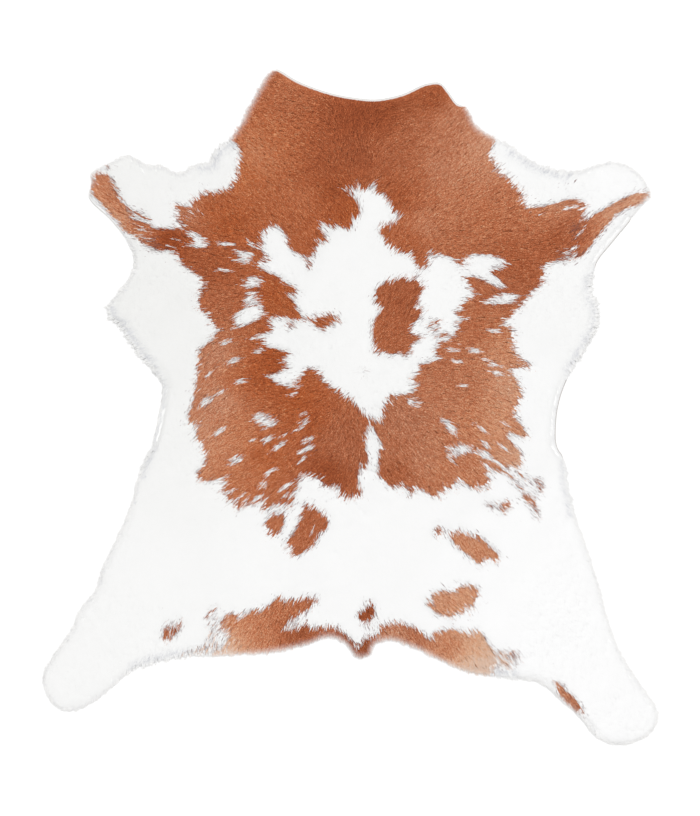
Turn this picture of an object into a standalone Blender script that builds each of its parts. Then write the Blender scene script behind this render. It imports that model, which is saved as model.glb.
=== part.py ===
"""A calf-sized cowhide rug, hair side up, lying flat on the floor.

One solid holds the tanned skin and the coat that lies on it. Seen from above its edge runs
through hand-chosen landmarks of a small hide: a trimmed neck at +Y, two forelegs, two hind
legs and the stub of the tail at -Y. The underside is flat, the top is as uneven as a coat of
short hair is, and hair tufts make the rim ragged wherever it isn't trimmed with a knife.

Lengths in the tables are millimetres; the mesh is in metres. +Y points to the neck, +X to the
animal's right side, which is also on the right seen from above, and +Z up.
"""
import math

import bmesh
import bpy
import numpy as np
from mathutils import Vector
from mathutils.geometry import delaunay_2d_cdt

MM = 0.001

# The hide's own sizes, in mm
SKIN = 1.8            # tanned skin
COAT = 4.0            # depth of the lying coat over the back
LEG_COAT = 2.6        # depth of the shorter coat on the legs
RIM_ROLL = 13.0       # how far in from the edge the coat reaches its full depth
LIP = 3.0             # bare skin left showing along a knife-trimmed edge
SPINE_X = 29.0        # the back line, which runs a little right of the middle
LUMP = 0.45           # unevenness of the coat
BODY_HALF = (248.0, 300.0)    # half width and half length of the oval where the coat is deepest
LEG_SPREAD = 0.6              # how far past that oval, as a share of it, the legs' coat starts

# Tufts of the rim, in mm: one row for each kind of edge
#        kind:    (step, reach, tip)   step between points, how far tufts stand out, their thickness
RIMS = {"cut":   (13.0, 0.0, SKIN),
        "short": (7.5, 1.6, 1.7),
        "tuft":  (4.6, 4.2, 1.3)}
# Rows of points that follow the edge: how far in, and the step between a row's points
RIM_ROWS = ((3.0, 9.0), (7.0, 12.0), (13.0, 15.0))
LINE_STEP = 1.5               # step of the finely drawn edge that everything is measured from
FIELD_STEP = 15.0             # spacing of the points over the rest of the coat
BASE_STEP = 48.0              # spacing of the points on the flat underside

# The edge, clockwise from the neck's left corner: stretch, kind of edge, landmarks (x, y)
EDGE = (
    ("neck cut",             "cut",   ((-106, 470), (-72, 452), (-30, 436.5), (8, 429),
                                       (38, 427), (74, 434.5), (106, 448.5))),
    ("neck corner",          "cut",   ((126, 450), (138, 437), (150, 421))),
    ("right shoulder",       "short", ((162, 417), (171, 400), (177, 390), (200, 375))),
    ("right armpit",         "tuft",  ((222, 364), (240, 350), (262, 337), (288, 328))),
    ("right foreleg",        "short", ((312, 326), (340, 334), (368, 340), (392, 333),
                                       (411, 315), (420, 294), (406, 277))),
    ("right foreleg inside", "cut",   ((395, 262), (366, 227), (345, 200))),
    ("right elbow",          "tuft",  ((341, 184), (336, 165), (346, 136), (347, 118),
                                       (337, 92), (318, 62))),
    ("right belly",          "cut",   ((306, 42), (293, 8), (288, -22), (289, -58))),
    ("right stifle",         "tuft",  ((301, -78), (304, -108))),
    ("right hind outside",   "short", ((316, -157), (338, -218), (351, -262), (364, -310),
                                       (385, -358), (414, -401), (431, -430))),
    ("right hind tip",       "short", ((425, -454), (400, -471), (370, -475), (346, -466))),
    ("right hind inside",    "short", ((325, -441), (292, -411), (266, -389))),
    ("right buttock",        "tuft",  ((236, -383), (205, -380))),
    ("right rump",           "short", ((168, -375), (124, -356), (84, -337), (52, -328.5),
                                       (34, -336))),
    ("tail stub",            "short", ((27, -350), (18, -354), (7, -351), (-6, -334))),
    ("left rump",            "short", ((-28, -324.5), (-60, -335), (-100, -344), (-160, -350))),
    ("left buttock",         "tuft",  ((-225, -351), (-268, -359))),
    ("left hind inside",     "short", ((-306, -373), (-348, -408), (-384, -427))),
    ("left hind tip",        "short", ((-408, -425), (-424, -404), (-430, -380), (-415, -349))),
    ("left hind outside",    "short", ((-390, -314), (-376, -282), (-358, -262), (-346, -226),
                                       (-326, -186), (-305, -136))),
    ("left stifle",          "tuft",  ((-296, -100), (-288, -78))),
    ("left belly",           "cut",   ((-277, -54), (-267, -14), (-262, 28))),
    ("left elbow",           "tuft",  ((-276, 49), (-293, 68), (-311, 94), (-322, 111),
                                       (-337, 122))),
    ("left elbow point",     "short", ((-338, 140), (-318, 164), (-303, 190), (-304, 213))),
    ("left foreleg inside",  "cut",   ((-313, 232), (-334, 259), (-365, 291))),
    ("left foreleg",         "short", ((-362, 310), (-363, 322), (-336, 339), (-308, 350),
                                       (-284, 335), (-264, 335), (-239, 324))),
    ("left armpit",          "tuft",  ((-216, 336), (-195, 339), (-190, 354), (-167, 372))),
    ("left shoulder",        "short", ((-152, 394), (-141, 417), (-124, 447), (-113, 464))),
)

# Soft troughs of the lying hide: name, from (x, y), bend (x, y), to (x, y), half width, depth
TROUGHS = (
    ("back line",         (SPINE_X, 300), (SPINE_X - 3, 60), (SPINE_X - 6, -320), 9.0, 0.5),
    ("neck fold",         (12, 424), (16, 380), (8, 330), 14.0, 0.5),
    ("left thigh crease", (-282, -142), (-268, -118), (-226, -116), 7.0, 1.2),
    ("left thigh hollow", (-262, -168), (-250, -146), (-232, -132), 22.0, 0.6),
    ("left elbow hollow", (-276, 152), (-256, 138), (-238, 112), 24.0, 0.8),
    ("left hind hollow",  (-396, -396), (-380, -376), (-360, -360), 22.0, 0.6),
)


def smooth_edge():
    """Points every LINE_STEP or so on the smooth edge, and the kind of edge at each.

    Between two landmarks the edge is a centripetal Catmull-Rom curve, which passes through
    every landmark and does not overshoot where long and short steps meet.
    """
    marks = [(mark, kind) for _, kind, marks in EDGE for mark in marks]
    place = np.array([mark for mark, _ in marks], float)
    count = len(place)
    line, kinds = [], []
    for i in range(count):
        before, start, end, after = (place[(i + k) % count] for k in (-1, 0, 1, 2))
        gaps = [math.sqrt(np.linalg.norm(b - a))
                for a, b in ((before, start), (start, end), (end, after))]
        leave = ((start - before) / gaps[0] - (end - before) / (gaps[0] + gaps[1])
                 + (end - start) / gaps[1]) * gaps[1]
        arrive = ((end - start) / gaps[1] - (after - start) / (gaps[1] + gaps[2])
                  + (after - end) / gaps[2]) * gaps[1]
        steps = max(2, round(np.linalg.norm(end - start) / LINE_STEP))
        t = (np.arange(steps) / steps)[:, None]
        line.append((2 * t**3 - 3 * t**2 + 1) * start + (t**3 - 2 * t**2 + t) * leave
                    + (3 * t**2 - 2 * t**3) * end + (t**3 - t**2) * arrive)
        kinds += [marks[i][1]] * steps
    return np.vstack(line), np.array(kinds)


def outward(line):
    """The direction straight out of the clockwise edge at each of its points."""
    along = np.roll(line, -3, axis=0) - np.roll(line, 3, axis=0)
    out = np.stack([-along[:, 1], along[:, 0]], axis=1)
    return out / np.linalg.norm(out, axis=1)[:, None]


def ragged_rim(line, kinds):
    """The rim as built: points walked along the smooth edge, every other one on a tuft's tip.

    Returns the points and the thickness of the rim at each.
    """
    rng = np.random.default_rng(11)
    away = outward(line)
    steps = np.linalg.norm(np.roll(line, -1, axis=0) - line, axis=1)
    points, thickness = [], []
    walked, on_tip = 0.0, False
    for i in range(len(line)):
        step, reach, tip = RIMS[kinds[i]]
        if walked <= 0:
            walked += step * rng.uniform(0.8, 1.2)
            on_tip = not on_tip
            out = reach * (rng.uniform(0.5, 1.2) if on_tip else rng.uniform(-0.9, -0.4))
            points.append(line[i] + away[i] * out)
            thickness.append(tip if on_tip else tip + 0.25 * reach)
        walked -= steps[i]
    return np.array(points), np.array(thickness)


def nearest(points, line):
    """Distance from each point to the nearest point of a line, and that point's number."""
    best, number = np.full(len(points), np.inf), np.zeros(len(points), int)
    for i in range(0, len(points), 200):
        gap = np.linalg.norm(points[i:i + 200, None] - line[None], axis=2)
        number[i:i + 200] = gap.argmin(axis=1)
        best[i:i + 200] = gap.min(axis=1)
    return best, number


def inside(points, loop):
    """True for the points that lie within a closed loop, by counting crossings."""
    found = np.zeros(len(points), bool)
    for (x0, y0), (x1, y1) in zip(loop, np.roll(loop, -1, axis=0)):
        spans = (y0 > points[:, 1]) != (y1 > points[:, 1])
        reach = x0 + (points[:, 1] - y0) / ((y1 - y0) or 1.0) * (x1 - x0)
        found ^= spans & (points[:, 0] < reach)
    return found


def smooth_rise(t):
    """A smooth step from 0 at t = 0 to 1 at t = 1."""
    t = np.clip(t, 0, 1)
    return t * t * (3 - 2 * t)


def trough_line(start, bend, end):
    """Forty points on the arc that leaves start, leans towards bend and reaches end."""
    t = np.linspace(0, 1, 40)[:, None]
    return (1 - t)**2 * np.array(start) + 2 * t * (1 - t) * np.array(bend) + t**2 * np.array(end)


def coat_top(points, line, kinds):
    """Height of the coat over the floor at points well inside or near the edge, in mm."""
    x, y = points.T
    gap, number = nearest(points, line)
    trimmed = kinds[number] == "cut"
    full = np.where(trimmed, smooth_rise((gap - LIP) / (RIM_ROLL - LIP)),
                    0.25 + 0.75 * smooth_rise(gap / RIM_ROLL))
    past_body = np.hypot(x / BODY_HALF[0], y / BODY_HALF[1]) - 1
    depth = COAT + (LEG_COAT - COAT) * smooth_rise(past_body / LEG_SPREAD)
    depth = depth + LUMP * (np.sin(x / 21 + 1.7 * np.sin(y / 47)) * np.sin(y / 26 + 0.8)
                            + 0.6 * np.sin(x / 11 - y / 14 + 2.1))
    for _, start, bend, end, half_width, dip in TROUGHS:
        away, _ = nearest(points, trough_line(start, bend, end))
        depth = depth - dip * np.exp(-(away / half_width)**2)
    return SKIN + depth * full


def spread(step, line, margin):
    """Staggered points every step or so within the edge, and at least margin from it."""
    low, high = line.min(axis=0), line.max(axis=0)
    rows = np.arange(low[1], high[1], step * math.sqrt(0.75))
    grid = [(x + (row % 2) * step / 2, y) for row, y in enumerate(rows)
            for x in np.arange(low[0], high[0], step)]
    grid = np.array(grid)
    grid = grid[inside(grid, line)]
    return grid[nearest(grid, line)[0] > margin]


def follow_edge(line):
    """The rows of points in RIM_ROWS, without those that a sharp corner would crowd."""
    kept = []
    for depth, step in RIM_ROWS:
        row = (line - outward(line) * depth)[::round(step / LINE_STEP)]
        row = row[inside(row, line)]
        kept.append(row[nearest(row, line)[0] > 0.9 * depth])
    return np.vstack(kept)


def triangles(rim, field):
    """Delaunay triangles of the rim loop and the points in it, as rows of point numbers."""
    points = [Vector(p) for p in np.vstack([rim, field])]
    loop = list(range(len(rim)))
    placed, _, faces, _, _, _ = delaunay_2d_cdt(points, [], [loop], 1, 1e-5)
    assert len(placed) == len(points)
    return np.array(faces)


def make_hide():
    """The hide as one closed mesh: coat on top, flat skin below, rim between."""
    line, kinds = smooth_edge()
    rim, rim_height = ragged_rim(line, kinds)
    rows = follow_edge(line)
    rows = rows[nearest(rows, rim)[0] > LINE_STEP]
    field = np.vstack([rows, spread(FIELD_STEP, line, RIM_ROWS[-1][0] + 0.5 * FIELD_STEP)])
    base = spread(BASE_STEP, line, 0.4 * BASE_STEP)

    top = np.column_stack([np.vstack([rim, field]),
                           np.concatenate([rim_height, coat_top(field, line, kinds)])])
    bottom = np.column_stack([np.vstack([rim, base]), np.zeros(len(rim) + len(base))])
    middle = (rim.min(axis=0) + rim.max(axis=0)) / 2
    points = np.vstack([top, bottom])
    points[:, :2] -= middle
    print("middle of the outline, mm:", middle.round(3), "size:", np.ptp(points, axis=0).round(1))

    under = triangles(rim, base)[:, ::-1] + len(top)
    a = np.arange(len(rim))
    b = np.roll(a, -1)
    walls = np.vstack([np.column_stack([a, b, b + len(top)]),
                       np.column_stack([a, b + len(top), a + len(top)])])
    faces = np.vstack([triangles(rim, field), under, walls])

    mesh = bpy.data.meshes.new("hide")
    mesh.from_pydata((points * MM).tolist(), [], faces.tolist())
    shell = bmesh.new()
    shell.from_mesh(mesh)
    bmesh.ops.recalc_face_normals(shell, faces=shell.faces)
    shell.to_mesh(mesh)
    shell.free()
    mesh.shade_smooth()
    mesh.set_sharp_from_angle(angle=math.radians(40))
    return bpy.data.objects.new("hide", mesh)


def coat_material():
    """Chestnut and white hair, as one plain finish."""
    material = bpy.data.materials.new("coat")
    material.use_nodes = True
    surface = material.node_tree.nodes["Principled BSDF"]
    surface.inputs["Base Color"].default_value = (0.36, 0.125, 0.05, 1.0)
    surface.inputs["Roughness"].default_value = 0.62
    surface.inputs["Metallic"].default_value = 0.0
    return material


for old in list(bpy.data.objects):
    bpy.data.objects.remove(old)
rug = bpy.data.collections.new("cowhide_rug")
bpy.context.scene.collection.children.link(rug)
hide = make_hide()
hide.data.materials.append(coat_material())
rug.objects.link(hide)
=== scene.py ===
# %% [markdown]
# # A cowhide rug, seen from straight above
#
# The rug is the tanned skin of a young animal with its hair left on: chestnut brown
# and white, about 0.86 m wide and 0.95 m long, and only a few millimetres thick.
# It lies flat, hair side up, so nearly everything that the eye meets is hair.
#
# The hide could be one slab with a picture of fur on it, but a slab has a hard edge
# and no depth from the side. Here the skin is a thin sheet, and the coat is made as
# hair: about 440,000 flat blades that lie the way the hair lies on the animal. The
# colour of each blade comes from short tables of landmarks for the brown patches.

# %% The frame
import math

import bpy
import numpy as np
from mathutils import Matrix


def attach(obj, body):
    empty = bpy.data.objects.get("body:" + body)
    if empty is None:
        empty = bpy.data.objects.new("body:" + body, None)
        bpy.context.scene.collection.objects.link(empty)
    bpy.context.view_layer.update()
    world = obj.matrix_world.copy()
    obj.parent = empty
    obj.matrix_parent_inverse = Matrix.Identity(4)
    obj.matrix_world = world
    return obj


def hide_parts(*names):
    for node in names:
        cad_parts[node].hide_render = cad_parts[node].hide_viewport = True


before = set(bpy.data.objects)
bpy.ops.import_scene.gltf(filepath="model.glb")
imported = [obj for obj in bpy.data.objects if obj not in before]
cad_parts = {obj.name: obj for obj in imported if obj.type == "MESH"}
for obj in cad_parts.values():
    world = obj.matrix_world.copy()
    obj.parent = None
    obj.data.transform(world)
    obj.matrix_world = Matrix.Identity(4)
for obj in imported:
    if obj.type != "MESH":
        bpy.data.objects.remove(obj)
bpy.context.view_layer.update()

MM = 0.001

# %% [markdown]
# ## The camera
#
# The photograph looks straight down, with the neck at the top. One pixel of its
# 700 x 816 is 1.4 mm of the rug, which sets how high an 85 mm lens has to be.

# %% Camera
PIXEL = 1.4                       # mm of rug in one pixel
PHOTO_HEIGHT = 816                # pixels
LENS, SENSOR = 85.0, 36.0         # mm
LOOK_AT = (-0.45, -1.14)          # mm, where the middle of the photograph falls
SEES = 100.0                      # m, as far as the camera sees


def put(name, data):
    """A new object of that name in the scene, at the origin."""
    made = bpy.data.objects.new(name, data)
    bpy.context.scene.collection.objects.link(made)
    return made


camera = put("camera", bpy.data.cameras.new("camera"))
camera.data.lens = LENS
camera.data.sensor_width = SENSOR
camera.data.clip_end = SEES
height = PHOTO_HEIGHT * PIXEL * LENS / SENSOR
camera.location = (LOOK_AT[0] * MM, LOOK_AT[1] * MM, height * MM)
bpy.context.scene.camera = camera
print("camera height, m:", round(height * MM, 3))

# %% [markdown]
# ## The outline
#
# A hide's outline is the flattened animal: a trimmed neck, two forelegs, the belly
# on either side, two hind legs and a stub of tail. It could be drawn as a curve, but
# numbers are easier to measure from, so the edge is a smooth line through a table of
# landmarks. They are the same ones, in the same millimetres, as in the CAD part.
#
# Each stretch says how it ends: "cut" was trimmed with a knife, "short" has short
# hair over it, and "tuft" has long hair standing out past it. Three numbers say how
# the stretch looks: how far hair passes it, how grey the shade painted on that hair is,
# and how dark the shade line painted at the raw edge of the leather is.

# %% Sizes of the hide
SKIN = 1.8                        # mm, tanned skin
COAT = 4.0                        # mm, depth of the lying coat over the back
LEG_COAT = 2.6                    # mm, depth of the coat on the legs
RIM_ROLL = 13.0                   # mm, how far in from the edge the coat is at full depth
RIM_START = 0.25                  # share of that depth right at an edge that hair covers
LIP = 3.0                         # mm, bare skin along a knife-trimmed edge
SPINE_X = 29.0                    # mm, the back line
LUMP = 0.45                       # mm, unevenness of the coat
BODY_HALF = (248.0, 300.0)        # mm, the oval where the coat is deepest
LEG_SPREAD = 0.6                  # share of that oval over which it thins
LINE_STEP = 1.5                   # mm, step of the finely drawn edge
LOOK_WIDTH = 11                   # steps over which the looks of two stretches blend
MIDDLE = np.array([0.449, -3.063])  # mm, the outline's middle, which the CAD puts at 0, 0
print("hide, mm deep over the back:", SKIN + COAT)

# %% Edge of the hide: stretch, kind of edge, how far hair passes it in mm, how grey its
# painted rim shade is, how dark the painted shade line at its raw edge is, landmarks (x, y) in
# mm
EDGE = (
    ("neck cut", "cut", -2.4, 0.3, 0.6, (
        (-106, 470), (-72, 452), (-30, 436.5), (8, 429), (38, 427), (74, 434.5), (106, 448.5))),
    ("neck corner", "cut", -2.4, 0.3, 0.6, ((126, 450), (138, 437), (150, 421))),
    ("right shoulder", "short", 3.5, 0.6, 0.0, (
        (162, 417), (171, 400), (177, 390), (200, 375))),
    ("right armpit", "tuft", 5.5, 1.0, 0.0, ((222, 364), (240, 350), (262, 337), (288, 328))),
    ("right foreleg", "short", 3.0, 0.75, 0.0, (
        (312, 326), (340, 334), (368, 340), (392, 333), (411, 315), (420, 294), (406, 277))),
    ("right foreleg inside", "cut", -2.4, 0.3, 0.7, ((395, 262), (366, 227), (345, 200))),
    ("right elbow", "tuft", 5.5, 0.8, 0.0, (
        (341, 184), (336, 165), (346, 136), (347, 118), (337, 92), (318, 62))),
    ("right belly", "cut", -1.0, 0.2, 0.8, ((306, 42), (293, 8), (288, -22), (289, -58))),
    ("right stifle", "tuft", 4.0, 0.6, 0.0, ((301, -78), (304, -108))),
    ("right hind outside", "short", 2.5, 0.4, 0.0, (
        (316, -157), (338, -218), (351, -262), (364, -310), (385, -358), (414, -401),
        (431, -430))),
    ("right hind tip", "short", 2.0, 0.5, 0.0, (
        (425, -454), (400, -471), (370, -475), (346, -466))),
    ("right hind inside", "short", 2.0, 0.3, 0.0, ((325, -441), (292, -411), (266, -389))),
    ("right buttock", "tuft", 5.0, 0.8, 0.0, ((236, -383), (205, -380))),
    ("right rump", "short", 3.5, 0.3, 0.0, (
        (168, -375), (124, -356), (84, -337), (52, -328.5), (34, -336))),
    ("tail stub", "short", 3.0, 0.1, 0.0, ((27, -350), (18, -354), (7, -351), (-6, -334))),
    ("left rump", "short", 3.5, 0.3, 0.0, (
        (-28, -324.5), (-60, -335), (-100, -344), (-160, -350))),
    ("left buttock", "tuft", 6.0, 1.0, 0.0, ((-225, -351), (-268, -359))),
    ("left hind inside", "short", 3.0, 0.8, 0.0, ((-306, -373), (-348, -408), (-384, -427))),
    ("left hind tip", "short", 2.8, 0.8, 0.0, (
        (-408, -425), (-424, -404), (-430, -380), (-415, -349))),
    ("left hind outside", "short", 3.0, 0.8, 0.0, (
        (-390, -314), (-376, -282), (-358, -262), (-346, -226), (-326, -186), (-305, -136))),
    ("left stifle", "tuft", 5.0, 0.8, 0.0, ((-296, -100), (-288, -78))),
    ("left belly", "cut", 3.0, 0.7, 0.15, ((-277, -54), (-267, -14), (-262, 28))),
    ("left elbow", "tuft", 6.5, 1.0, 0.0, (
        (-276, 49), (-293, 68), (-311, 94), (-322, 111), (-337, 122))),
    ("left elbow point", "short", 3.2, 0.8, 0.0, (
        (-338, 140), (-318, 164), (-303, 190), (-304, 213))),
    ("left foreleg inside", "cut", -1.0, 0.8, 0.3, ((-313, 232), (-334, 259), (-365, 291))),
    ("left foreleg", "short", 3.2, 0.8, 0.0, (
        (-362, 310), (-363, 322), (-336, 339), (-308, 350), (-284, 335), (-264, 335),
        (-239, 324))),
    ("left armpit", "tuft", 6.0, 1.0, 0.0, (
        (-216, 336), (-195, 339), (-190, 354), (-167, 372))),
    ("left shoulder", "short", 3.8, 0.3, 0.0, (
        (-152, 394), (-141, 417), (-124, 447), (-113, 464))),
)
print("edge:", len(EDGE), "stretches of", sum(len(row[-1]) for row in EDGE), "landmarks")


# %% The smooth edge
def smooth_edge():
    """Points every LINE_STEP or so on the smooth edge, and the row of the table for each.

    Between two landmarks the edge is a cubic curve. It leaves and arrives along slopes
    taken from their neighbours, each weighed by the square root of its distance, so the
    line passes through every landmark without overshooting.
    """
    marks = [(mark, row) for row in EDGE for mark in row[-1]]
    place = np.array([mark for mark, _ in marks], float)
    line, rows = [], []
    for i, (_, row) in enumerate(marks):
        before, start, end, after = (place[(i + k) % len(place)] for k in (-1, 0, 1, 2))
        gaps = [math.sqrt(np.linalg.norm(b - a))
                for a, b in ((before, start), (start, end), (end, after))]
        leave = ((start - before) / gaps[0] - (end - before) / (gaps[0] + gaps[1])
                 + (end - start) / gaps[1]) * gaps[1]
        arrive = ((end - start) / gaps[1] - (after - start) / (gaps[1] + gaps[2])
                  + (after - end) / gaps[2]) * gaps[1]
        steps = max(2, round(np.linalg.norm(end - start) / LINE_STEP))
        t = (np.arange(steps) / steps)[:, None]
        line.append((2 * t**3 - 3 * t**2 + 1) * start + (t**3 - 2 * t**2 + t) * leave
                    + (3 * t**2 - 2 * t**3) * end + (t**3 - t**2) * arrive)
        rows += [row] * steps
    return np.vstack(line), rows


def unit(ways):
    """Directions at length 1."""
    return ways / np.linalg.norm(ways, axis=1)[:, None]


def outward(line):
    """The unit direction straight out of the clockwise edge: a quarter turn from its run,
    which is taken from three points before to three points after."""
    along = np.roll(line, -3, axis=0) - np.roll(line, 3, axis=0)
    return unit(np.stack([-along[:, 1], along[:, 0]], axis=1))


def smooth_round(values, width):
    """A running mean over width neighbours along the closed edge."""
    half = width // 2
    return sum(np.roll(values, k, axis=0) for k in range(-half, half + 1)) / (2 * half + 1)


edge, edge_rows = smooth_edge()
edge_kind = np.array([kind for _, kind, *_ in edge_rows])
edge_out = outward(edge)
edge_look = smooth_round(np.array([row[2:5] for row in edge_rows]), LOOK_WIDTH)
round_trip = np.linalg.norm(np.roll(edge, -1, axis=0) - edge, axis=1).sum()
print("smooth edge:", len(edge), "points,", round(round_trip / 1000, 2), "m round")

# %% [markdown]
# ## A map of distances
#
# Hair needs to know how far it is from the edge, which way out is, and how that edge
# ends. Measuring 440,000 hairs against 2,400 edge points would be slow, so this is
# worked out once on a 3 mm grid, and read between the grid's points afterwards.

# %% Distance map
GRID, MARGIN = 3.0, 24.0          # mm, its step, and how far it passes the edge
GRID_LOW = edge.min(axis=0) - MARGIN
GRID_SHAPE = tuple(np.ceil((edge.max(axis=0) + MARGIN - GRID_LOW) / GRID).astype(int) + 1)
BATCH = 4000                      # points measured at once
KINDS = ("cut", "short", "tuft")
# Columns of the map: distance in from the edge (minus outside), way out (x, y), shares of
# the kinds of edge, how far hair passes the edge, and how grey the rim shade painted there is
GAP, OUT, CUT, TUFT, SHARES, PASSES, RIM_SHADE_COLUMN = 0, slice(1, 3), 3, 5, slice(3, 6), 6, 7


def inside(points, loop):
    """True for points within a closed loop: a line to their right crosses it an odd number of
    times."""
    loop = np.asarray(loop, float)
    found = np.zeros(len(points), bool)
    near = ((points >= loop.min(axis=0)) & (points <= loop.max(axis=0))).all(axis=1)
    x, y = points[near].T
    odd = np.zeros(len(x), bool)
    for (x0, y0), (x1, y1) in zip(loop, np.roll(loop, -1, axis=0)):
        spans = (y0 > y) != (y1 > y)
        odd ^= spans & (x < x0 + (y - y0) / ((y1 - y0) or 1.0) * (x1 - x0))
    found[near] = odd
    return found


def cells_of(shape):
    """Column and row of each cell of a grid, one column after the other."""
    return np.stack(np.indices(shape), axis=-1).reshape(-1, 2)


def distance_map():
    """The columns above at each point of the grid, from the nearest point of the edge."""
    points = GRID_LOW + GRID * cells_of(GRID_SHAPE)
    gap, number = np.empty(len(points)), np.empty(len(points), int)
    for k in range(0, len(points), BATCH):
        part = points[k:k + BATCH]
        square = (part**2).sum(1)[:, None] + (edge**2).sum(1)[None] - 2 * part @ edge.T
        number[k:k + BATCH] = square.argmin(axis=1)
        gap[k:k + BATCH] = np.sqrt(np.maximum(square.min(axis=1), 0))
    gap = np.where(inside(points, edge), gap, -gap)
    kinds = np.stack([edge_kind[number] == kind for kind in KINDS], axis=1)
    layers = np.column_stack([gap, edge_out[number], kinds, edge_look[number, :2]])
    return layers.astype(np.float32).reshape(*GRID_SHAPE, -1)


edge_map = distance_map()


def read_map(points, layers=edge_map):
    """A map's columns at any points, each mixed from the four grid points round it by
    nearness."""
    last = np.array(GRID_SHAPE) - 1.001      # just short of the last grid point
    at = np.clip((points - GRID_LOW) / GRID, 0, last)
    low = at.astype(int)
    (i, j), (s, t) = low.T, (at - low).T[:, :, None]
    return ((layers[i, j] * (1 - s) + layers[i + 1, j] * s) * (1 - t)
            + (layers[i, j + 1] * (1 - s) + layers[i + 1, j + 1] * s) * t)


print("distance map:", edge_map.shape, "deepest point", round(float(edge_map[..., GAP].max())),
      "mm in")

# %% [markdown]
# ## Which parts are brown
#
# A pied coat is brown hair and white hair with clear borders, and the borders look
# torn because hairs of one colour lie over the other. A noise texture could make
# spots, but not these spots: here every patch is a loop of landmarks, a few
# centimetres apart on plain borders and closer where a tongue of hair runs out.
# The tables are in the same millimetres as the edge.

# %% The brown saddle over neck, shoulders and flanks: stretch, landmarks (x, y) in mm
SADDLE = (
    ("neck, left of the cut", ((-124, 478), (-152, 428), (-162, 398))),
    ("left shoulder", (
        (-170, 373), (-158, 366), (-151, 352), (-158, 335), (-157, 325), (-168, 306),
        (-190, 297), (-202, 299), (-226, 285), (-219, 275), (-248, 281), (-240, 268),
        (-242, 259), (-232, 250))),
    ("left foreleg, upper", (
        (-243, 245), (-262, 247), (-278, 246), (-277, 252), (-289, 255), (-297, 258),
        (-310, 262), (-304, 268), (-309, 272), (-316, 281), (-323, 287), (-324, 296),
        (-328, 303), (-332, 310), (-335, 318), (-344, 325), (-354, 326), (-362, 316))),
    ("left foreleg, lower", (
        (-364, 303), (-361, 294), (-351, 286), (-338, 271), (-327, 259), (-302, 236),
        (-288, 225), (-273, 216), (-246, 216), (-243, 207), (-236, 197), (-225, 189),
        (-212, 181), (-205, 166), (-211, 158), (-214, 145), (-211, 134), (-200, 127),
        (-192, 107), (-181, 107))),
    ("left flank", (
        (-190, 97), (-197, 87), (-210, 80), (-213, 65), (-214, 45), (-219, 5), (-225, -12),
        (-229, -31), (-214, -25), (-215, -53), (-203, -55), (-209, -66), (-201, -68),
        (-203, -85), (-216, -98), (-210, -108), (-190, -104), (-172, -108))),
    ("left flank, below", (
        (-181, -123), (-171, -136), (-162, -134), (-158, -150), (-150, -141), (-127, -138),
        (-122, -150), (-106, -137), (-97, -141), (-87, -139), (-79, -144), (-76, -122),
        (-67, -93), (-64, -99), (-47, -102), (-39, -113), (-33, -117), (-15, -113), (-16, -129),
        (-2, -134), (5, -129), (14, -131), (19, -118), (12, -115), (10, -105), (14, -82))),
    ("back line", (
        (17, -89), (23, -92), (26, -75), (20, -55), (25, -35), (28, -24), (34, -34), (45, -57),
        (40, -60), (41, -72), (38, -80), (40, -87), (37, -97))),
    ("right flank, below", (
        (46, -104), (60, -117), (66, -115), (79, -113), (84, -121), (81, -131), (88, -127),
        (93, -115), (100, -118), (122, -131), (122, -124), (134, -121), (136, -113),
        (145, -122), (146, -113), (154, -103), (174, -121), (186, -113), (195, -122),
        (197, -107), (191, -95))),
    ("right flank, trailing", (
        (198, -91), (208, -93), (221, -98), (232, -105), (226, -98), (215, -91), (207, -86),
        (218, -88), (247, -88), (238, -81), (242, -72), (232, -58), (219, -45), (222, -37),
        (251, -50), (246, -36), (229, -16), (236, 0), (242, 15), (236, 33), (223, 50),
        (258, 50), (238, 66), (230, 75), (229, 95))),
    ("right flank", (
        (230, 107), (214, 111), (218, 121), (228, 124), (235, 138), (240, 133), (248, 150),
        (257, 160), (270, 170), (272, 180), (271, 190), (274, 196), (283, 200))),
    ("right foreleg, lower", (
        (293, 203), (303, 212), (313, 222), (317, 222), (310, 213), (304, 206), (312, 206),
        (325, 208), (331, 215), (338, 225), (342, 231), (351, 242), (364, 257), (376, 269),
        (390, 276), (408, 280), (424, 292))),
    ("right foreleg, upper", (
        (415, 297), (408, 298), (392, 294), (376, 286), (362, 278), (348, 270), (335, 261),
        (328, 258), (324, 266), (333, 280), (322, 286), (312, 289), (298, 285), (280, 280),
        (262, 276), (249, 277))),
    ("right shoulder", (
        (245, 288), (243, 300), (230, 305), (226, 318), (212, 321), (205, 332), (201, 345),
        (193, 352), (200, 360), (206, 378))),
    ("neck, right of the cut", ((176, 408), (150, 445), (110, 465), (0, 445))),
)


def rows_of(table):
    """All rows of a table, those of one name after those of the other."""
    return [row for _, rows in table for row in rows]


print("saddle:", len(rows_of(SADDLE)), "landmarks")

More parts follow.
